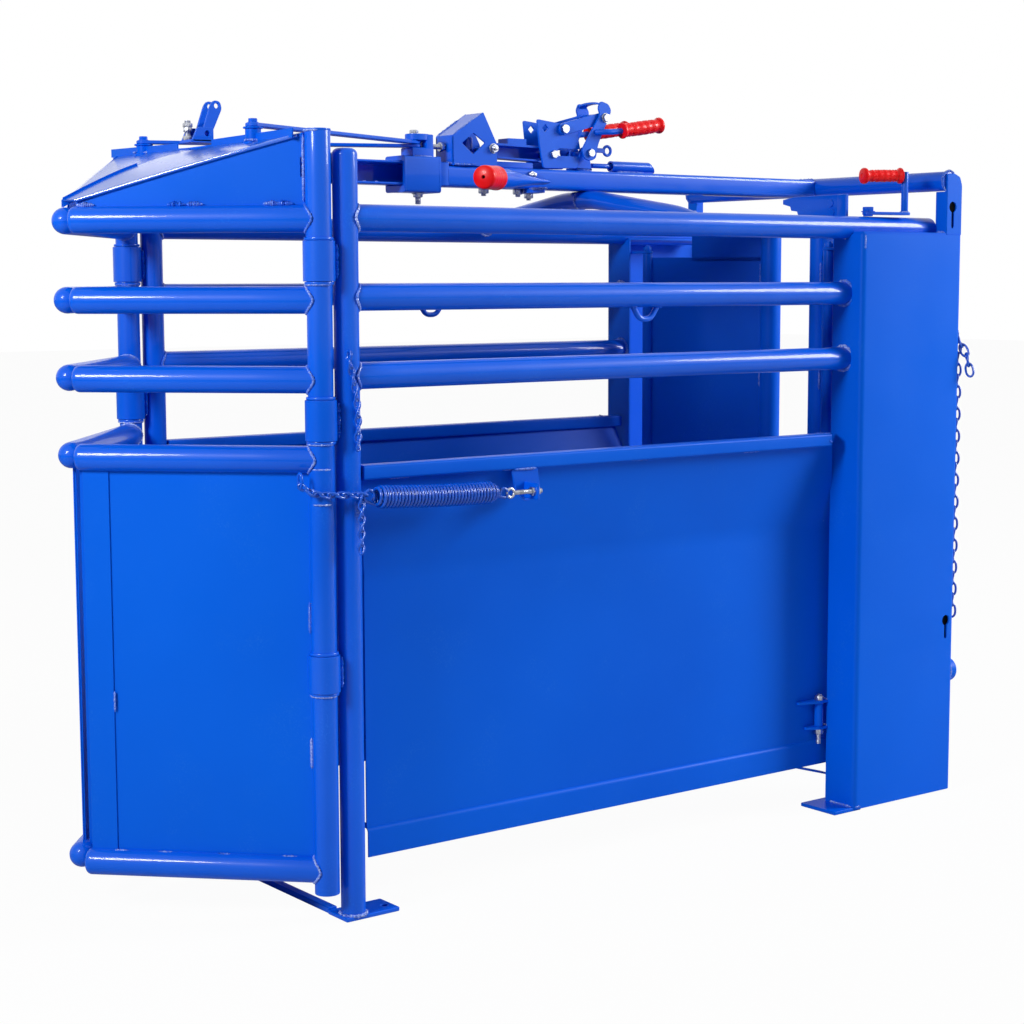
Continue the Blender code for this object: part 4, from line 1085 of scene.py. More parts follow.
@dataclass
class SideFrame(Sided):
    """One side frame: the post, three rails, bent sheet, folded rear housing and spring bracket.

    Attributes:
        sheet: the side sheet's thickness.
        panel_in: x of the upright sheet.
        housing_y: the housing's front and rear.
        housing_out: x of the housing's outer face.
        ear_y: where the ear at the top starts.
        keys: each keyhole's y, its round part's height and its foot.
        lug_bolt: the outer lugs' bolt in plan.
    """

    sheet: float = 0.003
    panel_in: float = 0.33
    housing_y: Pair = (1.331, 1.66)
    housing_out: float = 0.444
    ear_y: float = 1.608
    keys: tuple[Triple, ...] = ((1.6286, 1.3843, 1.3385), (1.6327, 0.4156, 0.3745))
    lug_bolt: Pair = (0.348, 1.3105)

    def build(self) -> None:
        """Builds the side frame's pieces."""
        self.post()
        for name, (z, end) in RAILS.items():
            self.rail(name, z, end)
        self.panel()
        self.housing()
        self.bracket()

    def post(self) -> None:
        """The domed frame post, its three hinge collars with their rings and beads, and its foot."""
        forms = [round_bar((HALF, 0, 0.004), (HALF, 0, POST_TOP), POST_R, soft_end=0.012)]
        for i, (low, high) in enumerate(COLLARS):
            wall = [(POST_R + 0.0005, 0), (0.0292, 0), (0.03, 0.0008), (0.03, high - low - 0.0008),
                    (0.0292, high - low), (POST_R + 0.0005, high - low), (POST_R + 0.0005, 0)]
            forms.append(lathe(wall, (HALF, HINGE_Y, low), UP))
            forms.append(block((HALF - 0.009, -0.031, low + 0.006), (HALF + 0.009, -0.022, high - 0.006)))
            for edge in (-0.0105, 0.0105):
                spot = (HALF + edge, -0.0262)
                forms.append(weld((*spot, low + 0.005), (*spot, high - 0.006), 0.004, 3 + i))
        forms.append(level(rounded_rect(0.343, -0.03, 0.413, 0.092, 0.004), 0.0, 0.008, ease=0.0012,
                           holes=(np.array([0.384, 0.0735]) + circle(0.007, 28),)))
        self.add("post_tube", forms, stands_for="frame_post")
        beads = [ring_weld((HALF, 0, 0.0085), UP, POST_R + 0.001, 0.0034, 5)]
        self.add("post_weld", beads, BLUE_WELD)

    def rail(self, name: str, z: float, end: float) -> None:
        """A side rail, coped to the post, with a bead round each end and a U hook under the second one.

        Args:
            name: which rail.
            z: the height of its middle.
            end: y of its rear end.
        """
        forms = [round_bar((HALF, 0.01, z), (HALF, end, z), TUBE_R, 0.0012)]
        if name == "second":
            drop = ((0.7, 0.021), (0.72, 0.05), (0.75, 0.05), (0.77, 0.021))
            forms.append(rod([(HALF, y, z - low) for y, low in drop], 0.006, 0.012, 16))
            forms += [ring_weld((HALF, y, z - 0.0245), UP, 0.0072, 0.0026, 9) for y in (0.702, 0.768)]
        self.add(f"{name}_rail_tube", forms, stands_for=f"{name}_rail")
        beads = [cope_weld((HALF, 0, z), BACK, ACROSS, 31, 120)]
        if name != "top":
            beads.append(ring_weld((HALF, end - 0.0012, z), BACK, TUBE_R + 0.0014, 0.0044, 7, (-150, 150)))
        self.add(f"{name}_rail_weld", beads, BLUE_WELD)

    def panel(self) -> None:
        """The side sheet: band and wall as one rounded profile along y, the square rail and the folded foot.

        The band narrows downwards: a row's end in y is a straight line of its height between the two folds.
        """
        top, fold, foot = (HALF - 0.006, 0.852), (self.panel_in, 0.6535), (self.panel_in, 0.15)
        line = eased([top, fold, foot], 0.02, steps=9)
        share = np.clip((line[:, 1] - fold[1]) / (top[1] - fold[1]), 0, 1)
        first, last = 0.069 - 0.0415 * share, self.housing_y[0] - 0.0006 + 0.3555 - line[:, 0]
        forms = [sheet(ruled(at_y(line, first), at_y(line, last), 40), self.sheet)]
        rail = rounded_box(0.038, 0.028, 0.005)
        path = np.array([(HALF, 0.0242, 0.859), (HALF, 0.3, 0.859), (HALF, 0.9, 0.859),
                         (HALF, 1.297, 0.859)])
        square = swept(path, rail, UP)
        square.points[:, 1] -= np.where(square.points[:, 1] > 1.2, 1.05 * (square.points[:, 0] - HALF), 0.0)
        forms.append(square)
        lip = eased([(self.panel_in - 0.028, 0.1505), (self.panel_in + 0.0055, 0.1505),
                     (self.panel_in + 0.0055, 0.0935)], 0.009)
        stop = np.interp(lip[:, 0], [0.326, 0.334], [1.33, 1.353])
        forms.append(sheet(ruled(at_y(lip, 0.069), at_y(lip, stop), 24), 0.003))
        strap = np.array([(1.246, 0.094), (1.352, 0.0635), (1.352, 0.0685), (1.246, 0.099)])
        forms.append(upright(strap, self.panel_in - 0.016, self.panel_in + 0.008))
        self.add("side_sheet", forms, BLUE_SHEET, stands_for="side_panel", angle=32.0)
        beads = []
        for i, start in enumerate((0.09, 0.36, 0.7, 1.02)):
            beads.append(weld((HALF - 0.0035, start, 0.8448), (HALF - 0.0035, start + 0.055, 0.8448),
                              0.0032, 20 + i))
        beads.append(weld((HALF, 0.0245, 0.848), (HALF, 0.0245, 0.87), 0.0032, 31))
        beads.append(weld((HALF + 0.019, 1.27, 0.859), (HALF + 0.019, 1.279, 0.852), 0.0046, 32))
        beads.append(weld((HALF - 0.016, 1.256, 0.8728), (HALF + 0.0185, 1.274, 0.8728), 0.002, 33))
        beads.append(weld((self.panel_in + 0.004, 1.3295, 0.66), (self.panel_in + 0.004, 1.3295, 0.7),
                          0.0024, 34))
        self.add("side_sheet_weld", beads, BLUE_WELD)

    def housing(self) -> None:
        """The rear housing: one folded profile, its ear, foot, key slots, gate lugs and stub."""
        front, rear = self.housing_y
        out = self.housing_out
        plan = [(0.3552, front + 0.0022), (out - 0.0022, front + 0.0022), (out - 0.0022, rear - 0.0022),
                (0.4105, rear - 0.0022)]
        line = eased(plan, 0.009, steps=8)
        wall = sheet(ruled(at_z(line, 0.0042), at_z(line, 1.32), 24), 0.0042)
        ear = eased([(self.ear_y + 0.0005, 1.3195), (rear - 0.0004, 1.3195), (rear - 0.0004, 1.435),
                     (rear - 0.0075, 1.4535), (1.635, 1.4605), (self.ear_y + 0.0005, 1.4605)], 0.004,
                    closed=True)
        top = rounded_rect(0.3615, front + 0.001, out - 0.001, self.ear_y + 0.004, 0.003)
        key = self.key_slots()
        forms = [wall, upright(ear, out - 0.0048, out, ease=0.001), level(top, 1.3195, 1.3248)]
        forms.append(block((0.41, self.ear_y, 1.321), (out - 0.001, self.ear_y + 0.005, 1.4195)))
        forms.append(level(rounded_rect(0.333, 1.27, 0.442, 1.358, 0.004), 0.0, 0.008, ease=0.0012))
        forms.append(round_bar((0.413, rear - 0.006, 0.288), (0.413, rear + 0.025, 0.288), 0.0285, 0.001,
                               0.006))
        for z in (0.1705, 0.23, 1.285):
            lug = capsule(GATE_PIVOT, (0.372, 1.352), 0.014)
            forms.append(level(lug, z, z + 0.006, holes=(np.array(GATE_PIVOT) + circle(0.0066),)))
            forms.append(block((0.364, 1.3335, z + 0.0006), (0.38, 1.365, z + 0.0054)))
        for z, reach in ((0.181, 0.055), (0.2425, 0.08)):
            ear_line = [(0.3338, front + 0.001), (0.3338, front - reach), (0.343, front - reach - 0.002),
                        (0.36, front - 0.03), (0.36, front + 0.001)]
            forms.append(level(eased(ear_line, 0.003, closed=True), z, z + 0.006))
        forms.append(round_bar((*self.lug_bolt, 0.1871), (*self.lug_bolt, 0.2425), 0.0098, 0.0006))
        forms += [upright(rounded_rect(y - 0.0185, low - 0.009, y + 0.0185, high + 0.0185, 0.004),
                          out - 0.0085, out - 0.005) for y, high, low in self.keys]
        seat = round_bar((HALF, 1.29, TOP_RAIL_Z), (HALF, self.ear_y, TOP_RAIL_Z), TUBE_R + 0.0004)
        self.add("housing_shell", forms, BLUE_SHEET, stands_for="rear_housing", cuts=[*key, seat])
        beads = [weld((out - 0.004, self.ear_y - 0.001, 1.326), (out - 0.03, self.ear_y - 0.001, 1.326),
                      0.0034, 40),
                 ring_weld((HALF, self.ear_y - 0.002, TOP_RAIL_Z), BACK, TUBE_R + 0.0006, 0.0034, 41,
                           (-160, 60)),
                 weld((out + 0.0004, front + 0.006, 1.318), (out + 0.0004, front + 0.006, 1.285),
                      0.0022, 47),
                 ring_weld((0.413, rear + 0.0006, 0.288), BACK, 0.0287, 0.0026, 42, (0, 360)),
                 weld((0.366, front - 0.0004, 0.0095), (0.438, front - 0.0004, 0.0095), 0.0036, 43),
                 weld((out + 0.0006, front + 0.004, 0.0095), (out + 0.0006, 1.352, 0.0095), 0.0036, 44),
                 weld((HALF - 0.018, 1.335, 1.325), (HALF - 0.018, 1.56, 1.325), 0.0024, 45)]
        beads += [weld((0.338, front - 0.001, z + 0.0065), (0.358, front - 0.001, z + 0.0065), 0.0026,
                       46 + i) for i, z in enumerate((0.181, 0.2425))]
        self.add("housing_weld", beads, BLUE_WELD)
        # Near-black plates just inside the outer wall, behind the key slots: painted shade seen through the
        # holes.
        painted_shade_plates = [upright(rounded_rect(y - 0.0155, low - 0.006, y + 0.0155, high + 0.0155, 0.003),
                         out - 0.0056, out - 0.004) for y, high, low in self.keys]
        self.add("key_slot_shade", painted_shade_plates, HOLE_PAINTED_SHADE)
        bx, by = self.lug_bolt
        nuts = [six_sided((bx, by, 0.2486), UP, 0.019, 0.01, 6),
                thread((bx, by, 0.2581), UP, 0.0058, 0.004),
                six_sided((bx, by, 0.1809), DOWN, 0.019, 0.012, 17),
                thread((bx, by, 0.1693), DOWN, 0.0058, 0.023)]
        self.add("lug_bolt", nuts, ZINC)

    def key_slots(self) -> list[Form]:
        """The cutters of the two keyholes in the outer wall: a round hole with a slot down from it.

        Returns:
            The two cutters.
        """
        hole, slot = 0.0125, 0.0045  # radii
        start = math.asin(slot / hole)
        turn = np.linspace(-np.pi / 2 + start, 1.5 * np.pi - start, 30)
        foot = np.pi + np.linspace(0, np.pi, 9)
        cutters = []
        for y, high, low in self.keys:
            ring = np.stack([y + hole * np.cos(turn), high + hole * np.sin(turn)], axis=1)
            tail = np.stack([y + slot * np.cos(foot), low + 0.0015 + slot * np.sin(foot)], axis=1)
            cutters.append(upright(np.concatenate([ring, tail]), 0.43, 0.46))
        return cutters

    def bracket(self) -> None:
        """The folded gusset under the sheet's rail, with its tab and the eyebolt that holds the spring."""
        gusset = eased([(0.373, 0.8455), (0.44, 0.8455), (0.446, 0.8), (0.418, 0.779), (0.405, 0.78),
                        (0.385, 0.8)], 0.008, closed=True)
        forms = [upright(gusset, 0.4, 0.405, ease=0.001),
                 block((0.4, 0.405, 0.786), (0.449, 0.41, 0.819), 0.0014)]
        self.add("spring_gusset", forms, stands_for="spring_bracket")
        screw = [thread((0.435, 0.356, 0.8025), BACK, 0.005, 0.068)]
        screw.append(six_sided((0.435, 0.4095, 0.8025), BACK, 0.0165, 0.008, 10))
        screw.append(six_sided((0.435, 0.4055, 0.8025), (0, -1, 0), 0.0165, 0.007, 24))
        screw.append(wire_eye((0.435, 0.3475, 0.8025), BACK, (0.0085, 0.0085), 0.003, steps=40))
        self.add("spring_eyebolt", screw, ZINC)
        beads = [weld((0.399, 0.378, 0.8448), (0.399, 0.436, 0.8448), 0.0026, 51),
                 weld((0.406, 0.378, 0.8448), (0.406, 0.436, 0.8448), 0.0026, 52)]
        self.add("spring_gusset_weld", beads, BLUE_WELD)


# Release doors


@dataclass
class ReleaseDoor(Sided):
    """One release door: its post, five rails, sheet with its strips, folded hood, link boss and chain eye.

    Attributes:
        way: the shut door's direction in plan, for the near side.
        reach: how far the rails run from the hinge.
        dome: whether the rails end in a dome.
        hood_tip: how far the hood's upright sheet runs.
        heights: the five rails' heights.
    """

    way: Pair
    reach: float
    dome: bool
    hood_tip: float
    heights: tuple[float, ...] = (1.332, 1.183, 1.036, 0.888, 0.104)

    @property
    def body(self) -> str:
        """The door's own body."""
        return f"{self.side.label}_door"

    def plane(self, out: float) -> Plane:
        """The upright plane along the door, so far out of its middle."""
        x, y = self.way
        return Plane((HALF - y * out, HINGE_Y + x * out, 0), (x, y, 0), UP)

    def at(self, reach: float, height: float, out: float = 0.0) -> Triple:
        """A point so far along the door, so high, and so far out of its middle."""
        x, y = self.way
        return (HALF + x * reach - y * out, HINGE_Y + y * reach + x * out, height)

    def build(self) -> None:
        """Builds the door's pieces."""
        self.post()
        self.rails()
        self.sheet_panel()
        self.hood()

    def post(self) -> None:
        """The hinge post with its cap plate and the thin rings over and under each collar."""
        forms = [round_bar((HALF, HINGE_Y, 0.058), (HALF, HINGE_Y, 1.4915), POST_R, 0.0012)]
        cap = [(0, 0), (POST_R + 0.0004, 0), (POST_R + 0.0008, 0.001), (POST_R + 0.0004, 0.0034),
               (POST_R - 0.004, 0.0042), (0, 0.0042)]
        forms.append(lathe(cap, (HALF, HINGE_Y, 1.4908), UP))
        for low, high in COLLARS:
            for z, tall in ((low - 0.0058, 0.0052), (high + 0.0006, 0.0052)):
                ring = [(POST_R - 0.001, 0), (0.0268, 0), (0.0274, 0.0008), (0.0274, tall - 0.0008),
                        (0.0268, tall), (POST_R - 0.001, tall), (POST_R - 0.001, 0)]
                forms.append(lathe(ring, (HALF, HINGE_Y, z), UP))
        self.add("door_post_tube", forms, stands_for="door_post")
        beads = [ring_weld((HALF, HINGE_Y, 1.4906), UP, POST_R + 0.0002, 0.0022, 61, (150, 420))]
        beads += [ring_weld((HALF, HINGE_Y, low - 0.006), UP, POST_R + 0.0016, 0.002, 62 + i, (-150, 120))
                  for i, (low, _) in enumerate(COLLARS)]
        self.add("door_post_weld", beads, BLUE_WELD)

    def rails(self) -> None:
        """The five rails, rounded or domed at the tip, with a bead where each meets the post."""
        names = ("door_rail_1", "door_rail_2", "door_rail_3")
        for i, z in enumerate(self.heights):
            tip = self.reach + (TUBE_R if self.dome else 0.0)
            bar = round_bar(self.at(0.01, z), self.at(tip, z), TUBE_R, 0.001, TUBE_R if self.dome else 0.011)
            if i < 3:
                self.add(f"{names[i]}_tube", [bar], stands_for=names[i])
            else:
                self.add(f"door_sheet_rail_{i - 2}", [bar])
        x, y = self.way
        beads = [cope_weld((HALF, HINGE_Y, z), (x, y, 0), (-y, x, 0), 29 + i, 110) for i,
                 z in enumerate(self.heights)]
        self.add("door_rail_weld", beads, BLUE_WELD)

    def strip(self, start: float, end: float, low: float, high: float, out: float, thick: float) -> Form:
        """A flat strip on the door: a plate of this run and height, standing so far out of the middle plane.

        Args:
            start: where it begins along the door.
            end: where it ends.
            low: its lower edge.
            high: its upper edge.
            out: how far its first face is out of the door's middle.
            thick: its thickness.

        Returns:
            The strip.
        """
        return plate(rounded_rect(start, low, end, high, 0.002), thick, self.plane(out), ease=0.0006)

    def sheet_panel(self) -> None:
        """The sheet between the two lowest rails, its strips, the chain's eye and the stitch welds."""
        far_end = self.reach - 0.012
        forms = [self.strip(0.0242, far_end, 0.104, 0.886, -0.0015, 0.003)]
        forms.append(self.strip(far_end - 0.05, far_end + 0.001, 0.122, 0.87, 0.0016, 0.003))
        forms.append(self.strip(far_end - 0.001, far_end + 0.003, 0.11, 0.88, -0.012, 0.024))
        self.add("door_sheet", forms, BLUE_SHEET, stands_for="door_panel")
        beads = []
        for i, start in enumerate((0.055, 0.185, 0.3, far_end - 0.075)):
            for z in (0.866, 0.1275):
                beads.append(weld(self.at(start, z, 0.003), self.at(start + 0.034, z, 0.003), 0.003, 70 + i))
        beads.append(weld(self.at(0.0262, 0.3, 0.0028), self.at(0.0262, 0.36, 0.0028), 0.0028, 78))
        beads.append(weld(self.at(0.0262, 0.56, 0.0028), self.at(0.0262, 0.62, 0.0028), 0.0028, 79))
        beads.append(weld(self.at(far_end - 0.052, 0.4, 0.003), self.at(far_end - 0.052, 0.44, 0.003),
                          0.0022, 80))
        self.add("door_sheet_weld", beads, BLUE_WELD)
        hook = wire_eye((0.3975, -0.111, 0.852), ACROSS, (0.007, 0.0135), 0.0028)
        turn = np.radians(np.linspace(-71.8, 8.2, 17))
        arc = np.stack([HALF + (POST_R + 0.0004) * np.cos(turn), HINGE_Y + (POST_R + 0.0004) * np.sin(turn),
                        0.806 + 0 * turn], axis=1)
        patch = sheet(ruled(arc, arc + np.array([0, 0, 0.064]), 8), 0.003)
        self.add("door_chain_eye", [hook, patch], BLUE)
        rims = [ring_weld((HALF, HINGE_Y, z), UP, POST_R + 0.0018, 0.002, 82, (16, 100))
                for z in (0.8055, 0.8705)]
        self.add("door_patch_weld", rims, BLUE_WELD)

    def hood(self) -> None:
        """The folded hood: the upright sheet over the top rail and the folded cover up to the split line."""
        back, low, thick = 0.041, 1.354, 0.003
        side = np.array([(0.0245, low), (self.hood_tip, low), (self.hood_tip, 1.3715), (back, 1.4855),
                         (0.0245, 1.4875)])
        slot = rounded_rect(0.029, 1.4075, 0.033, 1.4435, 0.0015)
        outline = eased(side, 0.003, closed=True, steps=4)
        forms = [plate(outline, thick, self.plane(-0.0015), holes=(slot,), ease=0.0006)]
        share = np.linspace(0.0, 1.0, 15)[:, None]
        edge = np.array(self.at(back, 1.484)) * (1 - share) + np.array(self.at(self.hood_tip, 1.37)) * share
        ridge = np.array([0.002, -0.11, 1.476]) * (1 - share) + np.array([0.002, -0.383, 1.3715]) * share
        hump = np.sin(np.pi * share[:, 0])
        ridge[:, 2] += 0.01 * hump
        edge[:, 2] += 0.002 * hump
        cover = [sheet(ruled(edge, ridge, 24)[:, ::-1], -thick)]
        fold = eased([self.at(0.026, 1.4855), (0.18, -0.086, 1.4825), (0.002, -0.11, 1.477)], 0.02)
        rear = np.linspace((0.368, -0.099, 1.478), (0.07, -0.101, 1.474), 12)
        lift = rear + np.array([0.0, 0.0, 0.017])
        forms.append(sheet(ruled(rear, lift, 4), 0.003))
        forms.append(swept(fold, rounded_box(0.005, 0.0036, 0.001), UP))
        forms.append(sheet(ruled(ridge, ridge - np.array([0, 0, 0.014]), 4), 0.002))
        if self.side is Side.NEAR:
            forms.append(sheet(ruled(ridge[6:] + np.array([0.0015, 0, 0]),
                                     ridge[6:] + np.array([0.0015, 0, 0.0042]), 3), 0.002))
        foot = LINK_Z[self.side]
        shaft = lathe([(0, 1.452), (0.019, 1.452), (0.019, 1.478), (0.018, 1.479), (0.015, 1.4795),
                       (0.015, foot - 0.004), (0.0185, foot - 0.0036), (0.019, foot - 0.002),
                       (0.0186, foot - 0.0005), (0.0, foot - 0.0005)], (*BOSS, 0), UP)
        forms.append(shaft)
        socket = round_bar((HALF, HINGE_Y, 1.33), (HALF, HINGE_Y, 1.52), POST_R + 0.0004)
        self.add("door_hood_shell", forms, BLUE_SHEET, stands_for="door_hood", cuts=[socket], angle=30.0)
        self.add("door_hood_cover", cover, BLUE_COVER, angle=30.0)
        bend = np.linspace(self.at(back - 0.004, 1.4828, 0.0022), self.at(self.hood_tip, 1.3682, 0.0022), 40)
        bend[:, 2] += 0.002 * np.sin(np.pi * np.linspace(0, 1, 40))
        edges = [swept(bend, circle(0.0036, 14), UP)]
        beads = []
        for i, start in enumerate((0.045, 0.068, 0.215, 0.25, 0.425)):
            a, b = self.at(start, low + 0.0052, 0.0058), self.at(start + 0.034, low + 0.0052, 0.0058)
            beads.append(weld(a, b, 0.0054, 90 + i))
        beads.append(weld(self.at(0.0268, 1.362, 0.0022), self.at(0.0268, 1.484, 0.0022), 0.0026, 96))
        beads.append(ring_weld((*BOSS, 1.4805), UP, 0.0195, 0.0022, 97, (0, 300)))
        self.add("door_hood_edge", edges, BLUE_BEND)
        self.add("door_hood_weld", beads, BLUE_WELD)


# Overhead works


# The links' pin on the slide in y, then the handle's pivot, the strap's bolt and the toggle's pin in (y, z)
PIN_Y = 0.423
PIVOT = (0.874, 1.5015)
STRAP_BOLT = (0.917, 1.581)
TOGGLE_PIN = (0.805, 1.552)


def mirrored_pair(forms: list[Form]) -> list[Form]:
    """The forms and their mirror images in x."""
    return forms + [form.for_side(Side.FAR) for form in forms]


@dataclass
class OverheadFrame:
    """The fixed pieces over the chute: header, strut, slide rail, spine, bow and crossbar."""

    shop: Workshop
    rail_half: float = 0.0285
    rail_low: float = 1.4186
    rail_top: float = 1.4686
    spine_half: float = 0.03175

    def build(self) -> None:
        """Builds the fixed pieces."""
        self.crossings()
        self.slide_rail()
        self.spine()
        self.bow()

    def crossings(self) -> None:
        """The header: a channel profile run across; the flat strut; the round crossbar."""
        inner = HALF - POST_R - 0.0004
        profile = eased([(-0.018, 1.4), (-0.018, 1.452), (0.022, 1.452), (0.022, 1.4)], 0.005)
        header = sheet(ruled(at_x(profile, -inner), at_x(profile, inner), 24), 0.0045)
        self.shop.add("header_channel", [header], BLUE, "frame", "front_header")
        self.shop.add("floor_strut", [block((-0.3425, -0.028, 0.0), (0.3425, -0.008, 0.012), 0.0016)], BLUE,
                      "frame", "front_strut")
        reach = 0.444 - 0.005 - 0.0004
        bar = round_bar((-reach, 1.62, 1.4435), (reach, 1.62, 1.4435), 0.0225, 0.001)
        self.shop.add("crossbar_tube", [bar], BLUE, "frame", "rear_crossbar")
        beads = [ring_weld((s * (reach - 0.001), 1.62, 1.4435), ACROSS, 0.0232, 0.0028, 101 + s)
                 for s in (1, -1)]
        beads += [weld((s * inner, -0.015, 1.4525), (s * inner, 0.018, 1.4525), 0.003, 105 + s)
                  for s in (1, -1)]
        beads.append(weld((-0.028, 1.5975, 1.463), (0.028, 1.5975, 1.463), 0.0028, 108))
        self.shop.add("crossing_weld", beads, BLUE_WELD, "frame")

    def slide_rail(self) -> None:
        """The slide rail: a C profile open to the near side, with a row of spot welds."""
        h, low, top, wall = self.rail_half, self.rail_low, self.rail_top, 0.005
        ring = eased([(h, low), (h, low + wall), (-h + wall, low + wall), (-h + wall, top - wall),
                      (h, top - wall), (h, top), (-h, top), (-h, low)], 0.0022, closed=True, steps=4)
        count = 40
        y = np.linspace(0.0224, 0.4898, count)
        outline = wound(ring)
        rows = np.stack([np.broadcast_to(outline[:, 0], (count, len(outline))),
                         np.repeat(y[:, None], len(outline), 1),
                         np.broadcast_to(outline[:, 1], (count, len(outline)))], axis=-1)
        skin = lofted(rows)
        tris = np.array(tessellate_polygon([[Vector((*p, 0)) for p in outline]]))
        caps = [Form(rows[0], tris=tris), Form(rows[-1], tris=tris[:, ::-1])]
        self.shop.add("slide_channel", [skin, *caps], BLUE, "frame", "slide_rail")
        dots = [lathe([(0, -0.001), (0.0042, -0.001), (0.0036, 0.0012), (0.002, 0.002), (0, 0.0023)],
                      (0.018, 0.045 + 0.03 * i, low + wall), UP, 16) for i in range(10)]
        dots.append(weld((-0.026, 0.0226, top), (0.026, 0.0226, top), 0.003, 111))
        dots.append(weld((-0.026, 0.4895, top - 0.003), (0.026, 0.4895, top - 0.003), 0.003, 112))
        self.shop.add("slide_channel_weld", dots, BLUE_WELD, "frame")

    def spine(self) -> None:
        """The spine: a square tube with rounded corners, its beads, and the nuts that hang under it."""
        size = 2 * self.spine_half
        path = np.array([(0, y, 1.44025) for y in (0.4902, 0.6, 1.0, 1.4, 1.597)])
        outline = rounded_box(size, 0.0445, 0.009)
        tube = swept(path, outline, UP)
        filler = block((0.02, 0.469, self.rail_low + 0.0006),
                       (self.spine_half - 0.0004, 0.4915, self.rail_top - 0.0006), 0.0012)
        self.shop.add("spine_box_tube", [tube, filler], BLUE, "frame", "spine_tube")
        nuts = []
        for i, y in enumerate((0.606, 0.7)):
            nuts.append(six_sided((0.0, y, 1.4178), DOWN, 0.02, 0.011, 13 * i))
            nuts.append(thread((0.0, y, 1.408), DOWN, 0.0058, 0.006))
        nuts.append(bolt((self.spine_half, 0.712, 1.448), ACROSS, 0.016, 0.0075, False, 0.01, 8))
        self.shop.add("spine_nuts", nuts, ZINC, "frame")

    def bow(self) -> None:
        """The bow: two tubes from the top rails, bent at the shoulder and meeting under the spine."""
        path = np.array([(-HALF, 0.88, 1.338), (-0.33, 0.88, 1.356), (-0.05, 0.88, 1.3975),
                         (0.05, 0.88, 1.3975), (0.33, 0.88, 1.356), (HALF, 0.88, 1.338)])
        tube = swept(eased(path, 0.035, steps=9), circle(0.02, 40), BACK)
        seats = [round_bar((s * HALF, 0.8, TOP_RAIL_Z), (s * HALF, 0.96, TOP_RAIL_Z), TUBE_R + 0.0003)
                 for s in (1, -1)]
        ends = [block((min(s * 0.39, s * 0.43), 0.84, 1.3), (max(s * 0.39, s * 0.43), 0.92, 1.4))
                for s in (1, -1)]
        self.shop.add("bow_bent_tube", [tube], BLUE, "frame", "bow_tube", cuts=[*seats, *ends])
        beads = [ring_weld((s * 0.3645, 0.88, 1.3465), (0.96, 0, -0.28 * s), 0.0208, 0.003, 121 + s,
                           (-170, 60)) for s in (1, -1)]
        beads.append(ring_weld((0.0, 0.88, 1.3975), ACROSS, 0.02, 0.0024, 124, (0, 360)))
        beads.append(weld((-0.026, 0.8975, 1.4165), (0.026, 0.8975, 1.4165), 0.003, 125))
        self.shop.add("bow_weld", beads, BLUE_WELD, "frame")


@dataclass
class SlideWorks:
    """The sleeve on the slide rail with its clevis and screw, and the two links to the doors."""

    shop: Workshop

    def build(self) -> None:
        """Builds the sleeve and its links."""
        outer, inner = rounded_box(0.072, 0.075, 0.006), rounded_box(0.059, 0.052, 0.003)
        plane = Plane((0, 0.374, 1.4415), (-1, 0, 0), UP)
        body = plate(outer, 0.093, plane, holes=(inner + np.array([0.0, 0.0021]),), ease=0.001)
        forms = [body]
        for y in (0.374, 0.463):
            lip = plate(rounded_box(0.0735, 0.0765, 0.007), 0.0052,
                        Plane((0, y - 0.0006, 1.4415), (-1, 0, 0), UP),
                        holes=(rounded_box(0.0584, 0.0514, 0.003) + np.array([0.0, 0.0021]),), ease=0.0008)
            forms.append(lip)
        forms.append(block((-0.022, 0.404, 1.478), (0.022, 0.459, 1.498), 0.0016))
        tongue = capsule((0.0, 0.426), (0.0, 0.436), 0.022)
        forms.append(level(tongue, 1.5137, 1.527, ease=0.0012))
        forms.append(block((-0.0214, 0.4416, 1.4785), (0.0214, 0.4584, 1.5262), 0.0016))
        forms.append(round_bar((0, PIN_Y, 1.49), (0, PIN_Y, 1.52), 0.007))
        self.shop.add("sleeve_body", forms, BLUE, "release_slide", "slide_sleeve")
        screws = [thread((0, 0.4585, 1.5025), BACK, 0.0055, 0.03),
                  six_sided((0, 0.488, 1.5025), BACK, 0.018, 0.0095),
                  six_sided((0, 0.4592, 1.5025), BACK, 0.017, 0.0075, 17),
                  six_sided((0, 0.432, 1.4045), DOWN, 0.018, 0.01, 8),
                  thread((0, 0.432, 1.396), DOWN, 0.0062, 0.0155),
                  lathe([(0, 0), (0.0135, 0), (0.0135, 0.0018), (0, 0.0018)], (0, 0.432, 1.403), DOWN, 32),
                  bolt((0, PIN_Y, 1.5268), UP, 0.0165, 0.007, True, 0.0)]
        self.shop.add("sleeve_bolts", screws, ZINC, "release_slide")
        self.shop.add("sleeve_weld", [weld((-0.02, 0.4035, 1.4795), (0.02, 0.4035, 1.4795), 0.0026, 131),
                                      weld((0.0225, 0.408, 1.4793), (0.0225, 0.455, 1.4793), 0.0026, 132)],
                      BLUE_WELD, "release_slide")
        for side in Side:
            self.link(side)

    def link(self, side: Side) -> None:
        """A door link: a flat bar with round ends, an eye at the slide, and its bolt at the door's boss.

        Args:
            side: the side of its door.
        """
        low = LINK_Z[side]
        bx, by = side.value * BOSS[0], BOSS[1]
        strap = level(capsule((0, PIN_Y), (bx, by), 0.0145, 20), low, low + 0.007,
                      holes=(np.array([0.0, PIN_Y]) + circle(0.0074, 32),), ease=0.0012)
        body = f"{side.label}_door_link"
        self.shop.add(f"{side.label}_link_bar", [strap], BLUE, body, f"{side.label}_link")
        head = bolt((bx, by, low + 0.0068), UP, 0.016, 0.0068, True, 0.0, 20)
        self.shop.add(f"{side.label}_link_bolt", [head], BLUE, body)


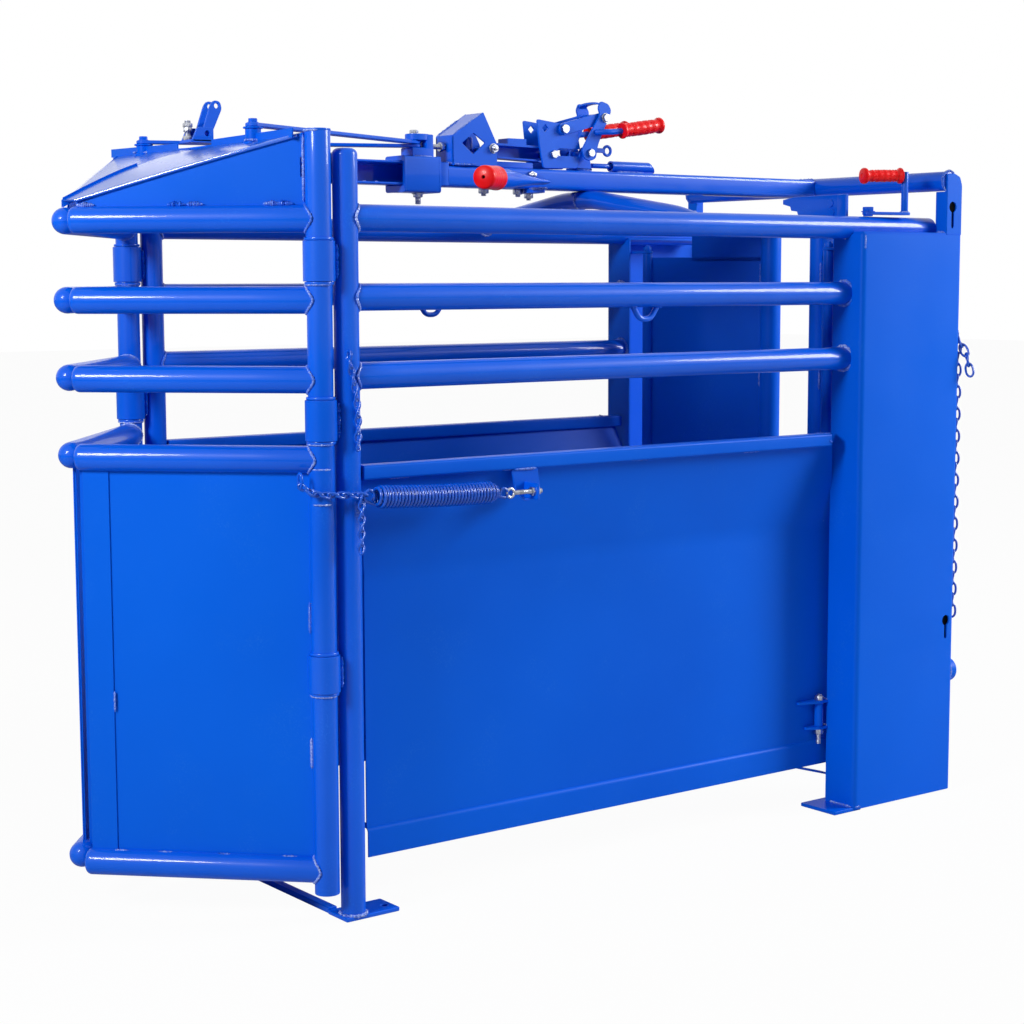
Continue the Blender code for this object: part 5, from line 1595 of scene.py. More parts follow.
@dataclass
class TriggerWorks:
    """The catch housing, the sear with its cam plates, the handle with its grips and the toggle bars."""

    shop: Workshop
    cam_x: Pair = (0.0225, 0.0275)
    toggle_x: Pair = (0.0287, 0.0342)
    strap_x: Pair = (0.0365, 0.0415)

    def build(self) -> None:
        """Builds the catch and the trigger."""
        self.catch()
        self.sear()
        self.lug_and_guide()
        self.strap()
        self.grips()
        self.toggle()

    def catch(self) -> None:
        """The catch housing: base, front, sloping top, two cheeks with a diamond window, and a bolt."""
        cheek = eased([(0.5026, 1.465), (0.619, 1.465), (0.6186, 1.512), (0.582, 1.5785), (0.5026, 1.527)],
                      0.003, closed=True, steps=4)
        diamond = eased([(0.525, 1.5105), (0.555, 1.4875), (0.587, 1.513), (0.555, 1.533)], 0.003,
                        closed=True, steps=4)
        top = np.array([(0.503, 1.5225), (0.5835, 1.5738), (0.58, 1.5768), (0.503, 1.5272)])
        forms = [block((-0.033, 0.503, 1.4629), (0.033, 0.618, 1.4682)),
                 block((-0.033, 0.5026, 1.465), (0.033, 0.5076, 1.527)),
                 upright(cheek, 0.0285, 0.0335, holes=(diamond,), ease=0.0009),
                 upright(cheek, -0.0335, -0.0285, holes=(diamond,), ease=0.0009), upright(top, -0.03, 0.03),
                 round_bar((0, 0.56, 1.466), (0, 0.56, 1.525), 0.013),
                 block((-0.017, 0.61, 1.4629), (0.017, 0.73, 1.476), 0.0014)]
        self.shop.add("catch_box", forms, BLUE, "frame", "catch_housing")
        beads = []
        for s in (1, -1):
            beads.append(weld((s * 0.0335, 0.506, 1.4655), (s * 0.0335, 0.56, 1.4655), 0.003, 141 + s))
            beads.append(weld((s * 0.03, 0.505, 1.528), (s * 0.03, 0.56, 1.564), 0.0022, 145 + s))
        beads.append(weld((-0.028, 0.5024, 1.468), (0.028, 0.5024, 1.468), 0.003, 148))
        self.shop.add("catch_weld", beads, BLUE_WELD, "frame")
        bolts = [round_bar((-0.04, 0.608, 1.502), (0.04, 0.608, 1.502), 0.0055)]
        bolts += [bolt((s * 0.0335, 0.608, 1.502), (s, 0, 0), 0.0165, 0.0065, True, 0.0035, 11)
                  for s in (1, -1)]
        self.shop.add("catch_bolt", bolts, ZINC, "frame")

    def sear(self) -> None:
        """The sear bar with its hook and the two cam plates with their notch and pins."""
        bar = eased([(0.63, 1.483), (0.768, 1.478), (0.768, 1.512), (0.711, 1.514), (0.711, 1.527),
                     (0.659, 1.527), (0.659, 1.515), (0.63, 1.5155)], 0.002, closed=True, steps=4)
        hollow = upright([(0.62, 1.487), (0.78, 1.482), (0.78, 1.508), (0.62, 1.511)], -0.013, 0.025)
        self.shop.add("sear_channel", [upright(bar, -0.018, 0.018)], BLUE, "sear", "sear_bar",
                      cuts=[hollow])
        plate_line = eased([(0.733, 1.571), (0.74, 1.5145), (0.751, 1.4645), (0.848, 1.467), (0.857, 1.508),
                            (0.845, 1.556), (0.7995, 1.564)], 0.006, closed=True, steps=6)
        notch = np.array([(0.794, 1.493), (0.87, 1.493), (0.87, 1.5095), (0.794, 1.5095), (0.788, 1.5012)])
        window = eased([(0.747, 1.552), (0.756, 1.543), (0.765, 1.552), (0.756, 1.561)], 0.002, closed=True,
                       steps=4)
        plates = mirrored_pair([upright(plate_line, *self.cam_x, holes=(window,), ease=0.0009)])
        plates.append(round_bar((-0.0318, 0.78, 1.496), (0.0318, 0.78, 1.496), 0.006))
        plates.append(round_bar((-0.0352, *TOGGLE_PIN), (0.0352, *TOGGLE_PIN), 0.006))
        cuts = [upright(notch, 0.02, 0.05), upright(notch, -0.05, -0.02)]
        self.shop.add("cam_plate_pair", plates, BLUE, "sear", "cam_plates", cuts=cuts)
        bolts = [bolt((s * 0.0275, 0.78, 1.496), (s, 0, 0), 0.0165, 0.006, False, 0.0, 5) for s in (1, -1)]
        bolts += [bolt((s * 0.0346, *TOGGLE_PIN), (s, 0, 0), 0.0185, 0.0062, False, 0.0, 12)
                  for s in (1, -1)]
        self.shop.add("cam_plate_bolts", bolts, ZINC, "sear")
        beads = [weld((s * 0.0226, 0.741, 1.479), (s * 0.019, 0.765, 1.4785), 0.0024, 151 + s)
                 for s in (1, -1)]
        self.shop.add("cam_plate_weld", beads, BLUE_WELD, "sear")

    def lug_and_guide(self) -> None:
        """The handle's lug with its pivot bar, and the guide tube with its slanted end, rod and ring."""
        y, z = PIVOT
        turn = np.linspace(0.0, np.pi, 13)
        crown = np.stack([y + 0.013 * np.cos(turn), z + 0.002 + 0.012 * np.sin(turn)], axis=1)
        cheek = np.concatenate([[(y - 0.022, 1.463), (y + 0.022, 1.463)], crown])
        forms = [block((-0.02, y - 0.022, 1.463), (0.02, y + 0.022, 1.469))]
        forms += mirrored_pair([upright(cheek, 0.014, 0.02)])
        forms.append(round_bar((-0.0468, y, z), (0.0468, y, z), 0.0058))
        self.shop.add("handle_bracket", forms, BLUE, "frame", "handle_lug")
        nuts = [bolt((s * 0.0418, y, z), (s, 0, 0), 0.0165, 0.006, False, 0.0, 9) for s in (1, -1)]
        self.shop.add("handle_pivot_nuts", nuts, ZINC, "frame")
        wall = [(0.0085, 0.0), (0.0122, 0.0), (0.0122, 0.139), (0.0085, 0.139), (0.0085, 0.0)]
        tube = lathe(wall, (0, 0.966, 1.4763), BACK)
        slant = upright([(1.07, 1.5), (1.12, 1.5), (1.12, 1.45), (1.105, 1.45)], -0.03, 0.03)
        forms = [tube, block((-0.006, 0.98, 1.4629), (0.006, 1.09, 1.468))]
        self.shop.add("guide_sleeve", forms, BLUE, "frame", "guide_tube", cuts=[slant])
        eye = [wire_eye((0, 0.9565, 1.511), BACK, (0.0102, 0.0102), 0.0034, 14),
               block((-0.003, 0.885, 1.506), (0.003, 0.948, 1.5165)),
               round_bar((0, 0.91, 1.4763), (0, 0.975, 1.4763), 0.0055)]
        self.shop.add("guide_rod_eye", eye, BLUE, "frame")
        beads = [weld((s * 0.0068, 0.982, 1.464), (s * 0.0068, 1.062, 1.464), 0.0024, 161 + s)
                 for s in (1, -1)]
        beads += [weld((s * 0.02, y - 0.02, 1.464), (s * 0.02, y + 0.02, 1.464), 0.0028, 165 + s)
                  for s in (1, -1)]
        self.shop.add("bracket_weld", beads, BLUE_WELD, "frame")

    def strap(self) -> None:
        """The handle strap: two bent flat sides joined over the top, their bolt, and the two grip arms."""
        line = eased([(0.849, 1.507), (0.858, 1.4875), (0.874, 1.4835), (0.89, 1.49), (0.8966, 1.521),
                      (0.933, 1.5925), (0.934, 1.6), (0.926, 1.612), (0.9036, 1.6176), (0.896, 1.602),
                      (0.902, 1.587), (0.878, 1.552)], 0.006, closed=True, steps=6)
        hole = np.array(PIVOT) + circle(0.0064, 28)
        forms = mirrored_pair([upright(line, *self.strap_x, holes=(hole,), ease=0.0009)])
        low_x, high_x = self.strap_x
        crown = [(-high_x, 1.592), (-high_x, 1.612), (-0.02, 1.6172), (0.02, 1.6172), (high_x, 1.612),
                 (high_x, 1.592)]
        arch = eased(crown, 0.02) * np.array([1 - 0.0004 / high_x, 1.0])
        rise = arch[:, 1] - 1.592
        over = ruled(at_y(arch, 0.901 + 0.1 * rise), at_y(arch, 0.933 - 0.42 * rise), 8)
        forms.append(sheet(over, low_x - high_x + 0.0008))
        forms.append(round_bar((-0.046, *STRAP_BOLT), (0.046, *STRAP_BOLT), 0.0058))
        for s in (1, -1):
            arm = [(s * 0.04, 0.89, 1.548), (s * 0.06, 0.905, 1.548), (s * 0.06, 0.925, 1.549),
                   (s * 0.06, 0.948, 1.5522)]
            forms.append(rod(arm, 0.0065, 0.014, 20, UP))
        self.shop.add("handle_frame", forms, BLUE, "handle", "handle_strap")
        bolts = [bolt((s * 0.0415, *STRAP_BOLT), (s, 0, 0), 0.0165, 0.0058, True, 0.0, 14) for s in (1, -1)]
        self.shop.add("handle_bolts", bolts, ZINC, "handle")

    def grips(self) -> None:
        """The two handle grips: flanged ends and a waisted body, with rows of shallow finger swells."""
        for side in Side:
            start = (side.value * 0.06, 0.9484, 1.5522)  # the arm's end
            add_grip(self.shop, f"{side.label}_handle_grip", start, (0, 0.989, 0.148), 0.118, "handle",
                     f"{side.label}_grip")

    def toggle(self) -> None:
        """The toggle: a flat bar each side, between cam plates and strap, and the sleeve on its bolt."""
        bar = capsule(TOGGLE_PIN, STRAP_BOLT, 0.013, 20)
        holes = (np.array(TOGGLE_PIN) + circle(0.0066, 28), np.array(STRAP_BOLT) + circle(0.0064, 28))
        forms = mirrored_pair([upright(bar, *self.toggle_x, holes=holes, ease=0.0009)])
        wall = [(0.0066, 0.0), (0.0108, 0.0), (0.0108, 0.0574), (0.0066, 0.0574), (0.0066, 0.0)]
        forms.append(lathe(wall, (-0.0287, *STRAP_BOLT), ACROSS))
        self.shop.add("toggle_bars", forms, BLUE, "toggle", "toggle_link")


def add_grip(shop: Workshop, name: str, start: tuple, way: tuple, long: float, body: str, stands_for: str,
             radius: float = 0.015) -> None:
    """A vinyl grip: a turned profile with a flange at each end, its radius swelling in five shallow waves.

    Args:
        shop: the workshop.
        name: the piece's name.
        start: the grip's foot.
        way: its direction.
        long: its length.
        body: the body that it rides on.
        stands_for: the solid that it replaces.
        radius: the body's radius.
    """
    h = np.linspace(0.01, long - 0.014, 90)
    share = (h - h[0]) / (h[-1] - h[0])
    body_r = radius + 0.0003 * np.sin(share * 2 * np.pi * 5) + 0.001 * np.sin(np.pi * share) ** 2
    head = [(0.0, 0.0004), (0.017, 0.0004), (0.018, 0.0014), (0.018, 0.004), (0.017, 0.0056),
            (radius + 0.0006, 0.009)]
    tail = [(radius + 0.0005, long - 0.0115), (0.0175, long - 0.009), (0.0182, long - 0.007),
            (0.0182, long - 0.0035),
            (0.017, long - 0.0012), (0.014, long), (0.0062, long), (0.0052, long - 0.0014),
            (0.0, long - 0.0014)]
    forms = [lathe(head + list(zip(body_r, h)) + tail, start, way, 56)]
    along = unit(np.array(way, float))
    side = square_to(along)
    other = np.cross(along, side)
    for row in range(10):
        angle = 2 * np.pi * row / 10
        out = np.cos(angle) * side + np.sin(angle) * other
        for step in range(9):
            height = long * (0.16 + 0.075 * step)
            foot = np.array(start) + along * height + out * (radius + 0.0002)
            forms.append(lathe([(0, 0), (0.0013, 0), (0.0012, 0.0009), (0.0007, 0.0013), (0, 0.0014)],
                               tuple(foot), tuple(out), 10))
    shop.add(name, forms, RED, body, stands_for)


# Lever, latch, gate, springs and chains


@dataclass
class ReleaseLever:
    """The release lever under the spine: its blade and screw, tube and red cap with a centre hole."""

    shop: Workshop
    pivot_y: float = 0.73
    tube_r: float = 0.021
    long: float = 0.27

    def build(self) -> None:
        """Builds the lever and its cap."""
        y = self.pivot_y
        blade = eased([(-0.012, y - 0.014), (0.05, y - 0.03), (0.066, y - 0.004), (0.01, y + 0.014),
                       (-0.012, y + 0.01)], 0.005, closed=True)
        start = np.array([0.06, y - 0.016, 1.432])
        way = unit(np.array([0.54, -0.8417, -0.015]))
        run = np.linspace(0.0, self.long, 30)
        share = np.clip(run / (0.78 * self.long), 0, 1)[:, None]
        ring = circle(self.tube_r, 48)
        level_way = unit(np.cross([0, 0, 1], way))
        flat = (1.22 - 0.22 * share) * ring[:, 0]
        tall = (0.3 + 0.7 * share**1.3) * ring[:, 1]
        up_way = np.cross(way, level_way)
        rows = start + run[:, None, None] * way + flat[..., None] * level_way + tall[..., None] * up_way
        ends = [np.repeat((start + way * t)[None, None], 48, axis=1) for t in (0.0, self.long)]
        tube = lofted(np.concatenate([ends[0], rows, ends[1]]))
        self.shop.add("lever_tube", [level(blade, 1.409, 1.4176), tube], BLUE, "lever", "release_lever")
        nuts = [six_sided((0, y, 1.41), DOWN, 0.018, 0.011, 7), thread((0, y, 1.4), DOWN, 0.0055, 0.005)]
        self.shop.add("lever_nut", nuts, ZINC, "lever")
        bead = weld((0.046, y - 0.034, 1.418), (0.074, y - 0.004, 1.418), 0.003, 171)
        self.shop.add("lever_weld", [bead], BLUE_WELD, "lever")
        ribs = np.linspace(0.284, 0.334, 40)
        radius = 0.0243 + 0.0002 * np.cos((ribs - 0.284) / 0.0125 * 2 * np.pi)
        profile = [(0, 0.269), (0.0238, 0.269), (0.0252, 0.27), (0.0252, 0.279),
                   (0.0246, 0.281)] + list(zip(radius, ribs))
        profile += [(0.0242, 0.338), (0.0232, 0.342), (0.02, 0.3446), (0.004, 0.345), (0.0036, 0.344),
                    (0.0036, 0.338), (0.0, 0.338)]
        self.shop.add("lever_cap", [lathe(profile, tuple(start), tuple(way), 56)], RED, "lever",
                      "lever_grip")
        # A near-black disc inside the cap's centre hole: painted shade in the hole.
        painted_shade_plug = round_bar(tuple(start + way * 0.336), tuple(start + way * 0.3386), 0.0046, 0.0002)
        self.shop.add("lever_cap_hole", [painted_shade_plug], HOLE_PAINTED_SHADE, "lever", slot=Slot.RED)


@dataclass
class NoseLatch:
    """The small sprung latch over the hoods: a bent bracket, its stud with nuts, and two ears on a coil."""

    shop: Workshop
    axis: Pair = (-0.084, 1.506)

    def build(self) -> None:
        """Builds the bracket and the ears."""
        line = eased([(0.02, 1.4545), (-0.0052, 1.4545), (-0.0052, 1.4882), (-0.12, 1.4882)], 0.006)
        stand = eased([(-0.118, 1.49), (-0.07, 1.49), (-0.07, 1.518), (-0.105, 1.518)], 0.006, closed=True)
        hole = np.array(self.axis) + circle(0.0056, 24)
        forms = [sheet(ruled(at_x(line, -0.024), at_x(line, 0.024), 10), 0.005)]
        forms += mirrored_pair([upright(stand, 0.018, 0.024, holes=(hole,), ease=0.0008)])
        self.shop.add("latch_plate", forms, BLUE, "frame", "latch_bracket")
        stud = [thread((-0.012, -0.108, 1.4885), UP, 0.0062, 0.043),
                six_sided((-0.012, -0.108, 1.4935), UP, 0.017, 0.0085, 12),
                six_sided((-0.012, -0.108, 1.5105), UP, 0.017, 0.008, 31),
                six_sided((-0.012, -0.108, 1.519), UP, 0.017, 0.008, 2)]
        self.shop.add("latch_stud", stud, ZINC, "frame")
        beads = [weld((-0.022, 0.0215, 1.4535), (0.022, 0.0215, 1.4535), 0.0028, 181)]
        self.shop.add("latch_plate_weld", beads, BLUE_WELD, "frame")
        ear = eased([(-0.094, 1.499), (-0.0735, 1.498), (-0.046, 1.556), (-0.05, 1.57), (-0.064, 1.572),
                     (-0.072, 1.562)], 0.006, closed=True)
        eye = np.array([-0.0585, 1.561]) + circle(0.005, 22)
        ears = mirrored_pair([upright(ear, 0.011, 0.016, holes=(eye,), ease=0.0008)])
        y, z = self.axis
        ears.append(round_bar((-0.0172, y, z), (0.0172, y, z), 0.005))
        ears.append(round_bar((-0.014, -0.061, 1.529), (0.014, -0.061, 1.529), 0.0033))
        turn = np.linspace(0, 2 * np.pi * 5, 5 * 28)
        coil = np.stack([-0.0088 + 0.0176 * turn / turn[-1], y + 0.0095 * np.cos(turn),
                         z + 0.0095 * np.sin(turn)], axis=1)
        legs = [np.array([[-0.0088, y + 0.0095, z - 0.0078]]), np.array([[0.0088, y + 0.0095, z + 0.016]])]
        ears.append(swept(np.concatenate([legs[0], coil, legs[1]]), circle(0.0016, 10), ACROSS))
        self.shop.add("latch_ears", ears, BLUE, "nose_latch", "nose_latch")


@dataclass
class TailGate:
    """The tail gate: two folded leaves on pivot bolts, the stepped plate and the crank with its grip."""

    shop: Workshop
    edge: Pair = (0.085, 1.565)

    def build(self) -> None:
        """Builds the leaves, the plate and the crank."""
        for side in Side:
            self.leaf(side)
        self.stepped_plate()
        self.crank()

    def leaf(self, side: Side) -> None:
        """One leaf: a sheet with one soft fold from the pivot barrel to the edge tube, and its bolts.

        Args:
            side: the side that it hangs on.
        """
        pivot, edge = np.array(GATE_PIVOT), np.array(self.edge)
        way = unit(edge - pivot)
        across = np.array([way[1], -way[0]])
        line = eased([pivot, pivot + 0.42 * (edge - pivot) + across * 0.02, edge], 0.02)
        leaf = sheet(ruled(at_z(line, 0.25), at_z(line, 1.275), 30), 0.003)
        rim = line[line[:, 1] > pivot[1] + 0.026]
        band = sheet(ruled(at_z(rim, 1.265), at_z(rim, 1.332), 6), 0.009)
        tube = round_bar((*self.edge, 0.145), (*self.edge, 1.365), TUBE_R, 0.0014)
        barrel = round_bar((*GATE_PIVOT, 0.2364), (*GATE_PIVOT, 1.2846), 0.012, 0.0008)
        forms = [leaf, band, tube, barrel,
                 round_bar((*GATE_PIVOT, 0.137), (*GATE_PIVOT, 1.305), 0.006, 0.0008),
                 round_bar((*GATE_PIVOT, 0.1769), (*GATE_PIVOT, 0.2296), 0.01, 0.0008)]
        forms.append(six_sided((*GATE_PIVOT, 1.2916), UP, 0.0185, 0.0095, 21))
        body = f"{side.label}_gate"
        self.shop.add_sided(side, "gate_sheet", forms, BLUE_SHEET, body, "gate_leaf")
        nuts = [six_sided((*GATE_PIVOT, 0.1402), DOWN, 0.0185, 0.01, 8)]
        self.shop.add_sided(side, "gate_nuts", nuts, ZINC, body)
        spot = edge - way * (TUBE_R + 0.0005)
        beads = [weld((*spot, z), (*spot, z + 0.05), 0.003, 191 + i) for i,
                 z in enumerate((0.26, 0.6, 0.95, 1.21))]
        self.shop.add_sided(side, "gate_weld", beads, BLUE_WELD, body)

    def stepped_plate(self) -> None:
        """The stepped plate beside the crank, seated on the top rail."""
        seat_r = 0.0258
        turn = np.linspace(math.asin(0.0109 / seat_r), math.acos(0.013 / seat_r), 6)
        saddle = [(HALF - seat_r * math.cos(t), TOP_RAIL_Z + seat_r * math.sin(t)) for t in turn]
        step = [(0.165, 1.4035), (0.165, 1.3932), (0.1883, 1.3875), (0.1923, 1.3778), (0.211, 1.3755),
                (0.2154, 1.364), (0.235, 1.362), (0.235, 1.3454)]
        outline = np.array(step + saddle + [(0.35, 1.37), (0.35, 1.41), (0.199, 1.409)])
        form = plate(outline, 0.005, Plane((0, 1.36, 0), ACROSS, UP), ease=0.0008)
        stand = block((0.339, 1.3546, 1.35), (0.366, 1.364, 1.411), 0.002)
        screws = [six_sided((x, 1.3602, z), (0, -1, 0), 0.017, 0.008, 9 + x * 90) for x,
                  z in ((0.3185, 1.3906), (0.3225, 1.37))]
        self.shop.add("stop_plate", [form, stand, *screws], BLUE, "frame", "stepped_plate")
        bead = weld((0.36, 1.3548, 1.3535), (0.376, 1.3548, 1.3585), 0.0026, 201)
        self.shop.add("stop_plate_weld", [bead], BLUE_WELD, "frame")

    def crank(self) -> None:
        """The crank: a flat arm with round ends, its pivot bolt, the upright stem and the flanged grip."""
        foot, tip = (0.392, 1.4), (0.411, 1.5)
        forms = [level(capsule(foot, tip, 0.013, 20), 1.364, 1.3705, ease=0.0009),
                 round_bar((*foot, 1.3604), (*foot, 1.366), 0.011),
                 round_bar((*tip, 1.365), (*tip, 1.462), 0.008)]
        self.shop.add("crank_bar", forms, BLUE, "crank", "crank_arm")
        self.shop.add("crank_bolt", [bolt((*foot, 1.3703), UP, 0.024, 0.0095, True, 0.0, 10)], BLUE,
                      "crank")
        self.shop.add("crank_weld", [ring_weld((*tip, 1.3708), UP, 0.0086, 0.0024, 205)], BLUE_WELD,
                      "crank")
        way = tuple(unit(np.array([-0.03, -0.1, -0.002])))
        start = np.array([*tip, 1.4535]) + np.array(way) * 0.011
        add_grip(self.shop, "crank_hand_grip", tuple(start), way, 0.101, "crank", "crank_grip", 0.0128)


@dataclass
class Springs:
    """The door springs with their chains, and the loose chains on the post and behind the housing."""

    shop: Workshop
    x: float = 0.435
    start: Pair = (0.0315, 0.816)
    end: Pair = (0.314, 0.807)
    turns: int = 37
    mean_r: float = 0.0192
    wire_r: float = 0.0032
    held_y: float = -0.2977
    closed_share: float = 0.79

    def build(self) -> None:
        """Builds the springs and every chain."""
        for side in Side:
            self.spring(side)
            self.door_chain(side)
        self.loose_chains()

    def spring(self, side: Side) -> None:
        """A close coil on a slightly bowed line, tapering at its rear, with an open hook at each end.

        Point t of the coil is the line's point plus the radius times (sin, -cos) of the turn, and the radius
        falls towards the rear over the last three turns.

        Args:
            side: the side of its door.
        """
        (y0, z0), (y1, z1) = self.start, self.end
        share = np.linspace(0.0, 1.0, self.turns * 22)
        turn = 2 * np.pi * self.turns * share
        rear_taper = 1.0 - 0.62 * np.clip((share - 0.93) / 0.07, 0, 1) ** 1.4
        front_taper = 1.0 - 0.25 * np.clip((0.03 - share) / 0.03, 0, 1)
        radius = self.mean_r * rear_taper * front_taper
        bow = 0.0025 * np.sin(np.pi * share)
        height = z0 + (z1 - z0) * share - bow - radius * np.cos(turn)
        coil = np.stack([self.x + radius * np.sin(turn), y0 + (y1 - y0) * share, height], axis=1)
        hook_turn = np.linspace(-0.5 * np.pi, 1.15 * np.pi, 22) + 0.4
        across, up = np.cos(hook_turn), np.sin(hook_turn)
        front = np.column_stack([y0 - 0.015 - 0.0115 * across, z0 + 0.002 + 0.0115 * up])
        rear = np.column_stack([y1 + 0.0165 + 0.0095 * across, z1 - 0.004 + 0.0095 * up])
        path = eased(np.concatenate([at_x(front[::-1], self.x), coil, at_x(rear, self.x)]), 0.0005, steps=2)
        wire = swept(path, circle(self.wire_r, 12), (0.06, 1.0, 0.03))
        piece = self.shop.add_sided(side, "spring_coil", [wire], BLUE_WIRE, "frame", "spring", angle=60)
        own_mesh(piece)

    def door_chain(self, side: Side) -> None:
        """The short twisted chain from the door's eye to the spring, and its loose tail.

        Args:
            side: the side of its door.
        """
        main = np.array([(0.399, -0.112, 0.843), (0.417, -0.09, 0.8255), (0.426, -0.048, 0.8235),
                         (self.x, 0.01, 0.82)])
        tail = np.array([(0.4335, 0.0005, 0.821), (0.436, -0.001, 0.775), (0.435, -0.0025, 0.713)])
        forms = [chain_links(eased(main, 0.02), 0.015, 0.0172, 0.0027, 40.0),
                 chain_links(tail, 0.014, 0.015, 0.0023, 40.0)]
        self.shop.add_sided(side, "chain_links", forms, BLUE_WIRE, f"{side.label}_door_chain", "chain",
                            angle=60)

    def loose_chains(self) -> None:
        """The chain from its eye on the near post, and the one that hangs behind the near housing."""
        hang = np.array([(0.4165, -0.013, 1.0725), (0.4185, -0.003, 1.026), (0.4215, 0.003, 0.977),
                         (0.4205, 0.002, 0.905)])
        post = [chain_links(eased(hang, 0.03), 0.015, 0.0155, 0.0023, 40.0)]
        post.append(wire_eye((0.4165, -0.013, 1.08), ACROSS, (0.008, 0.0095), 0.0024, 10))
        self.shop.add("post_chain_links", post, BLUE_WIRE, "frame", "post_chain", angle=60)
        drop = np.array([(0.433, 1.665, 1.097), (0.43, 1.672, 1.05), (0.428, 1.674, 0.7),
                         (0.43, 1.672, 0.42)])
        loose = np.array([(0.432, 1.667, 1.085), (0.453, 1.678, 1.04), (0.464, 1.68, 0.995)])
        rear = [chain_links(eased(drop, 0.05), 0.0265, 0.0225, 0.0027, 25.0),
                chain_links(loose, 0.0265, 0.0225, 0.0027, 25.0)]
        rear.append(rod([(0.43, 1.66, 1.118), (0.43, 1.666, 1.116), (0.431, 1.668, 1.096),
                         (0.431, 1.662, 1.092)], 0.0032, 0.004, 12, ACROSS))
        self.shop.add("rear_chain_links", rear, BLUE_WIRE, "frame", "rear_chain", angle=60)


# Stage


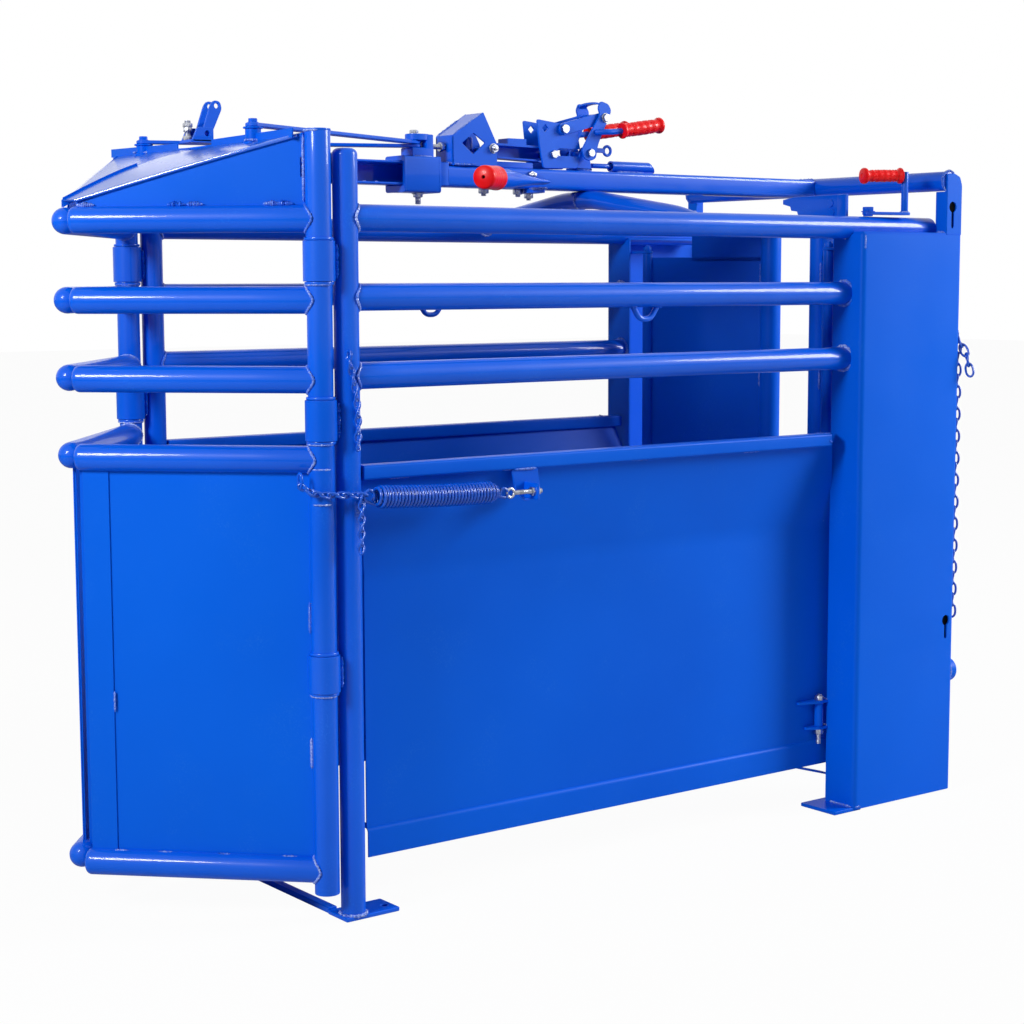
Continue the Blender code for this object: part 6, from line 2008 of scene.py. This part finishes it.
@dataclass
class Studio:
    """A pale floor and backdrop, soft lamps, and the camera at the photograph's place.

    Attributes:
        place: the camera's place from the frame posts.
        yaw: degrees that it looks to the left of +Y.
        pitch: degrees that it looks down.
        roll: degrees that it leans.
        focal_px: focal length in pixels of a 1024 frame.
    """

    place: Triple = (3.5642, -2.0254, 1.2169)
    yaw: float = 52.7842
    pitch: float = 6.567
    roll: float = -0.1557
    focal_px: float = 2006.62

    def build(self) -> None:
        """Builds the stage, the lamps and the camera."""
        bpy.context.scene.view_settings.view_transform = "Standard"
        self.floor()
        self.world()
        self.lamps()
        self.camera()

    def camera(self) -> None:
        """The camera: its axes are the view's right, up and back, turned by the roll."""
        yaw, pitch, roll = np.radians([self.yaw, self.pitch, self.roll])
        ahead = np.array([-math.sin(yaw) * math.cos(pitch), math.cos(yaw) * math.cos(pitch),
                          -math.sin(pitch)])
        right = np.array([math.cos(yaw), math.sin(yaw), 0.0])
        up = np.cross(right, ahead)
        turned_right = math.cos(roll) * right + math.sin(roll) * up
        turned_up = -math.sin(roll) * right + math.cos(roll) * up
        data = bpy.data.cameras.new("photo_camera")
        data.sensor_width = 36.0
        data.lens = self.focal_px / 1024 * data.sensor_width
        camera = bpy.data.objects.new("photo_camera", data)
        bpy.context.scene.collection.objects.link(camera)
        turn = Matrix([[turned_right[i], turned_up[i], -ahead[i]] for i in range(3)]).to_4x4()
        x, y, z = self.place
        camera.matrix_world = Matrix.Translation((x, y + POST_LINE_Y, z)) @ turn
        bpy.context.scene.camera = camera

    def floor(self) -> None:
        """A wide flat floor: near white to the camera, and darker where the lamps don't reach."""
        mesh = bpy.data.meshes.new("studio_floor")
        half = 30.0
        mesh.from_pydata([(-half, -half, -0.0005), (half, -half, -0.0005), (half, half, -0.0005),
                          (-half, half, -0.0005)], [], [(0, 1, 2, 3)])
        floor = bpy.data.objects.new("studio_floor", mesh)
        bpy.context.scene.collection.objects.link(floor)
        material = bpy.data.materials.new("pale_floor")
        material.use_nodes = True
        tree = material.node_tree
        shader = tree.nodes["Principled BSDF"]
        shader.inputs["Base Color"].default_value = (0.62, 0.62, 0.62, 1.0)
        shader.inputs["Roughness"].default_value = 0.85
        shader.inputs["Specular IOR Level"].default_value = 0.1
        glow = tree.nodes.new("ShaderNodeEmission")
        glow.inputs["Color"].default_value = (1.0, 1.0, 1.0, 1.0)
        path = tree.nodes.new("ShaderNodeLightPath")
        share = tree.nodes.new("ShaderNodeMath")
        share.operation = "MULTIPLY"
        share.inputs[1].default_value = 0.965
        mix = tree.nodes.new("ShaderNodeMixShader")
        tree.links.new(path.outputs["Is Camera Ray"], share.inputs[0])
        tree.links.new(share.outputs[0], mix.inputs["Fac"])
        tree.links.new(shader.outputs[0], mix.inputs[1])
        tree.links.new(glow.outputs[0], mix.inputs[2])
        tree.links.new(mix.outputs[0], tree.nodes["Material Output"].inputs["Surface"])
        mesh.materials.append(material)
        floor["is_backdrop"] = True

    def world(self) -> None:
        """A world that lights softly and shows white to the camera, to gloss and through clear things."""
        world = bpy.data.worlds.new("studio_world")
        bpy.context.scene.world = world
        world.use_nodes = True
        tree = world.node_tree
        soft = tree.nodes["Background"]
        soft.inputs["Color"].default_value = (1.0, 1.0, 1.0, 1.0)
        soft.inputs["Strength"].default_value = 0.11
        white = tree.nodes.new("ShaderNodeBackground")
        white.inputs["Color"].default_value = (1.0, 1.0, 1.0, 1.0)
        white.inputs["Strength"].default_value = 1.0
        path = tree.nodes.new("ShaderNodeLightPath")
        first, second = tree.nodes.new("ShaderNodeMath"), tree.nodes.new("ShaderNodeMath")
        first.operation = second.operation = "MAXIMUM"
        tree.links.new(path.outputs["Is Camera Ray"], first.inputs[0])
        tree.links.new(path.outputs["Is Glossy Ray"], first.inputs[1])
        tree.links.new(first.outputs[0], second.inputs[0])
        tree.links.new(path.outputs["Is Transmission Ray"], second.inputs[1])
        mix = tree.nodes.new("ShaderNodeMixShader")
        tree.links.new(second.outputs[0], mix.inputs["Fac"])
        tree.links.new(soft.outputs[0], mix.inputs[1])
        tree.links.new(white.outputs[0], mix.inputs[2])
        tree.links.new(mix.outputs[0], tree.nodes["World Output"].inputs["Surface"])

    def lamps(self) -> None:
        """Three large soft lamps: high on the near side, high in front, and a low fill behind."""
        for name, spot, size, power in (("near_lamp", (3.8, 5.9, 3.6), 3.0, 560.0),
                                        ("front_lamp", (1.1, -3.9, 2.6), 1.0, 132.0),
                                        ("far_lamp", (-3.0, 1.6, 2.8), 2.6, 10.0)):
            data = bpy.data.lights.new(name, "AREA")
            data.shape = "DISK"
            data.size = size
            data.energy = power
            lamp = bpy.data.objects.new(name, data)
            bpy.context.scene.collection.objects.link(lamp)
            aim = Vector((0.0, 0.0, 0.75)) - Vector(spot)
            lamp.matrix_world = Matrix.Translation(spot) @ aim.to_track_quat("-Z", "Y").to_matrix().to_4x4()


def build_chute(shop: Workshop) -> None:
    """Builds the chute's pieces, from the side frames up to the springs.

    Args:
        shop: the workshop that makes and seats them.
    """
    for side in Side:
        SideFrame(shop, side).build()
    ReleaseDoor(shop, Side.NEAR, (-0.7071, -0.7071), 0.474, False, 0.4617).build()
    ReleaseDoor(shop, Side.FAR, (-0.7732, -0.6342), 0.508, True, 0.493).build()
    OverheadFrame(shop).build()
    SlideWorks(shop).build()
    TriggerWorks(shop).build()
    ReleaseLever(shop).build()
    NoseLatch(shop).build()
    TailGate(shop).build()
    Springs(shop).build()


def main() -> None:
    """Loads the frame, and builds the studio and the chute."""
    logging.basicConfig(level=logging.INFO, format="%(name)s %(message)s")
    shop = Workshop()
    Studio().build()
    build_chute(shop)
    shop.finish()


if __name__ == "__main__":
    main()
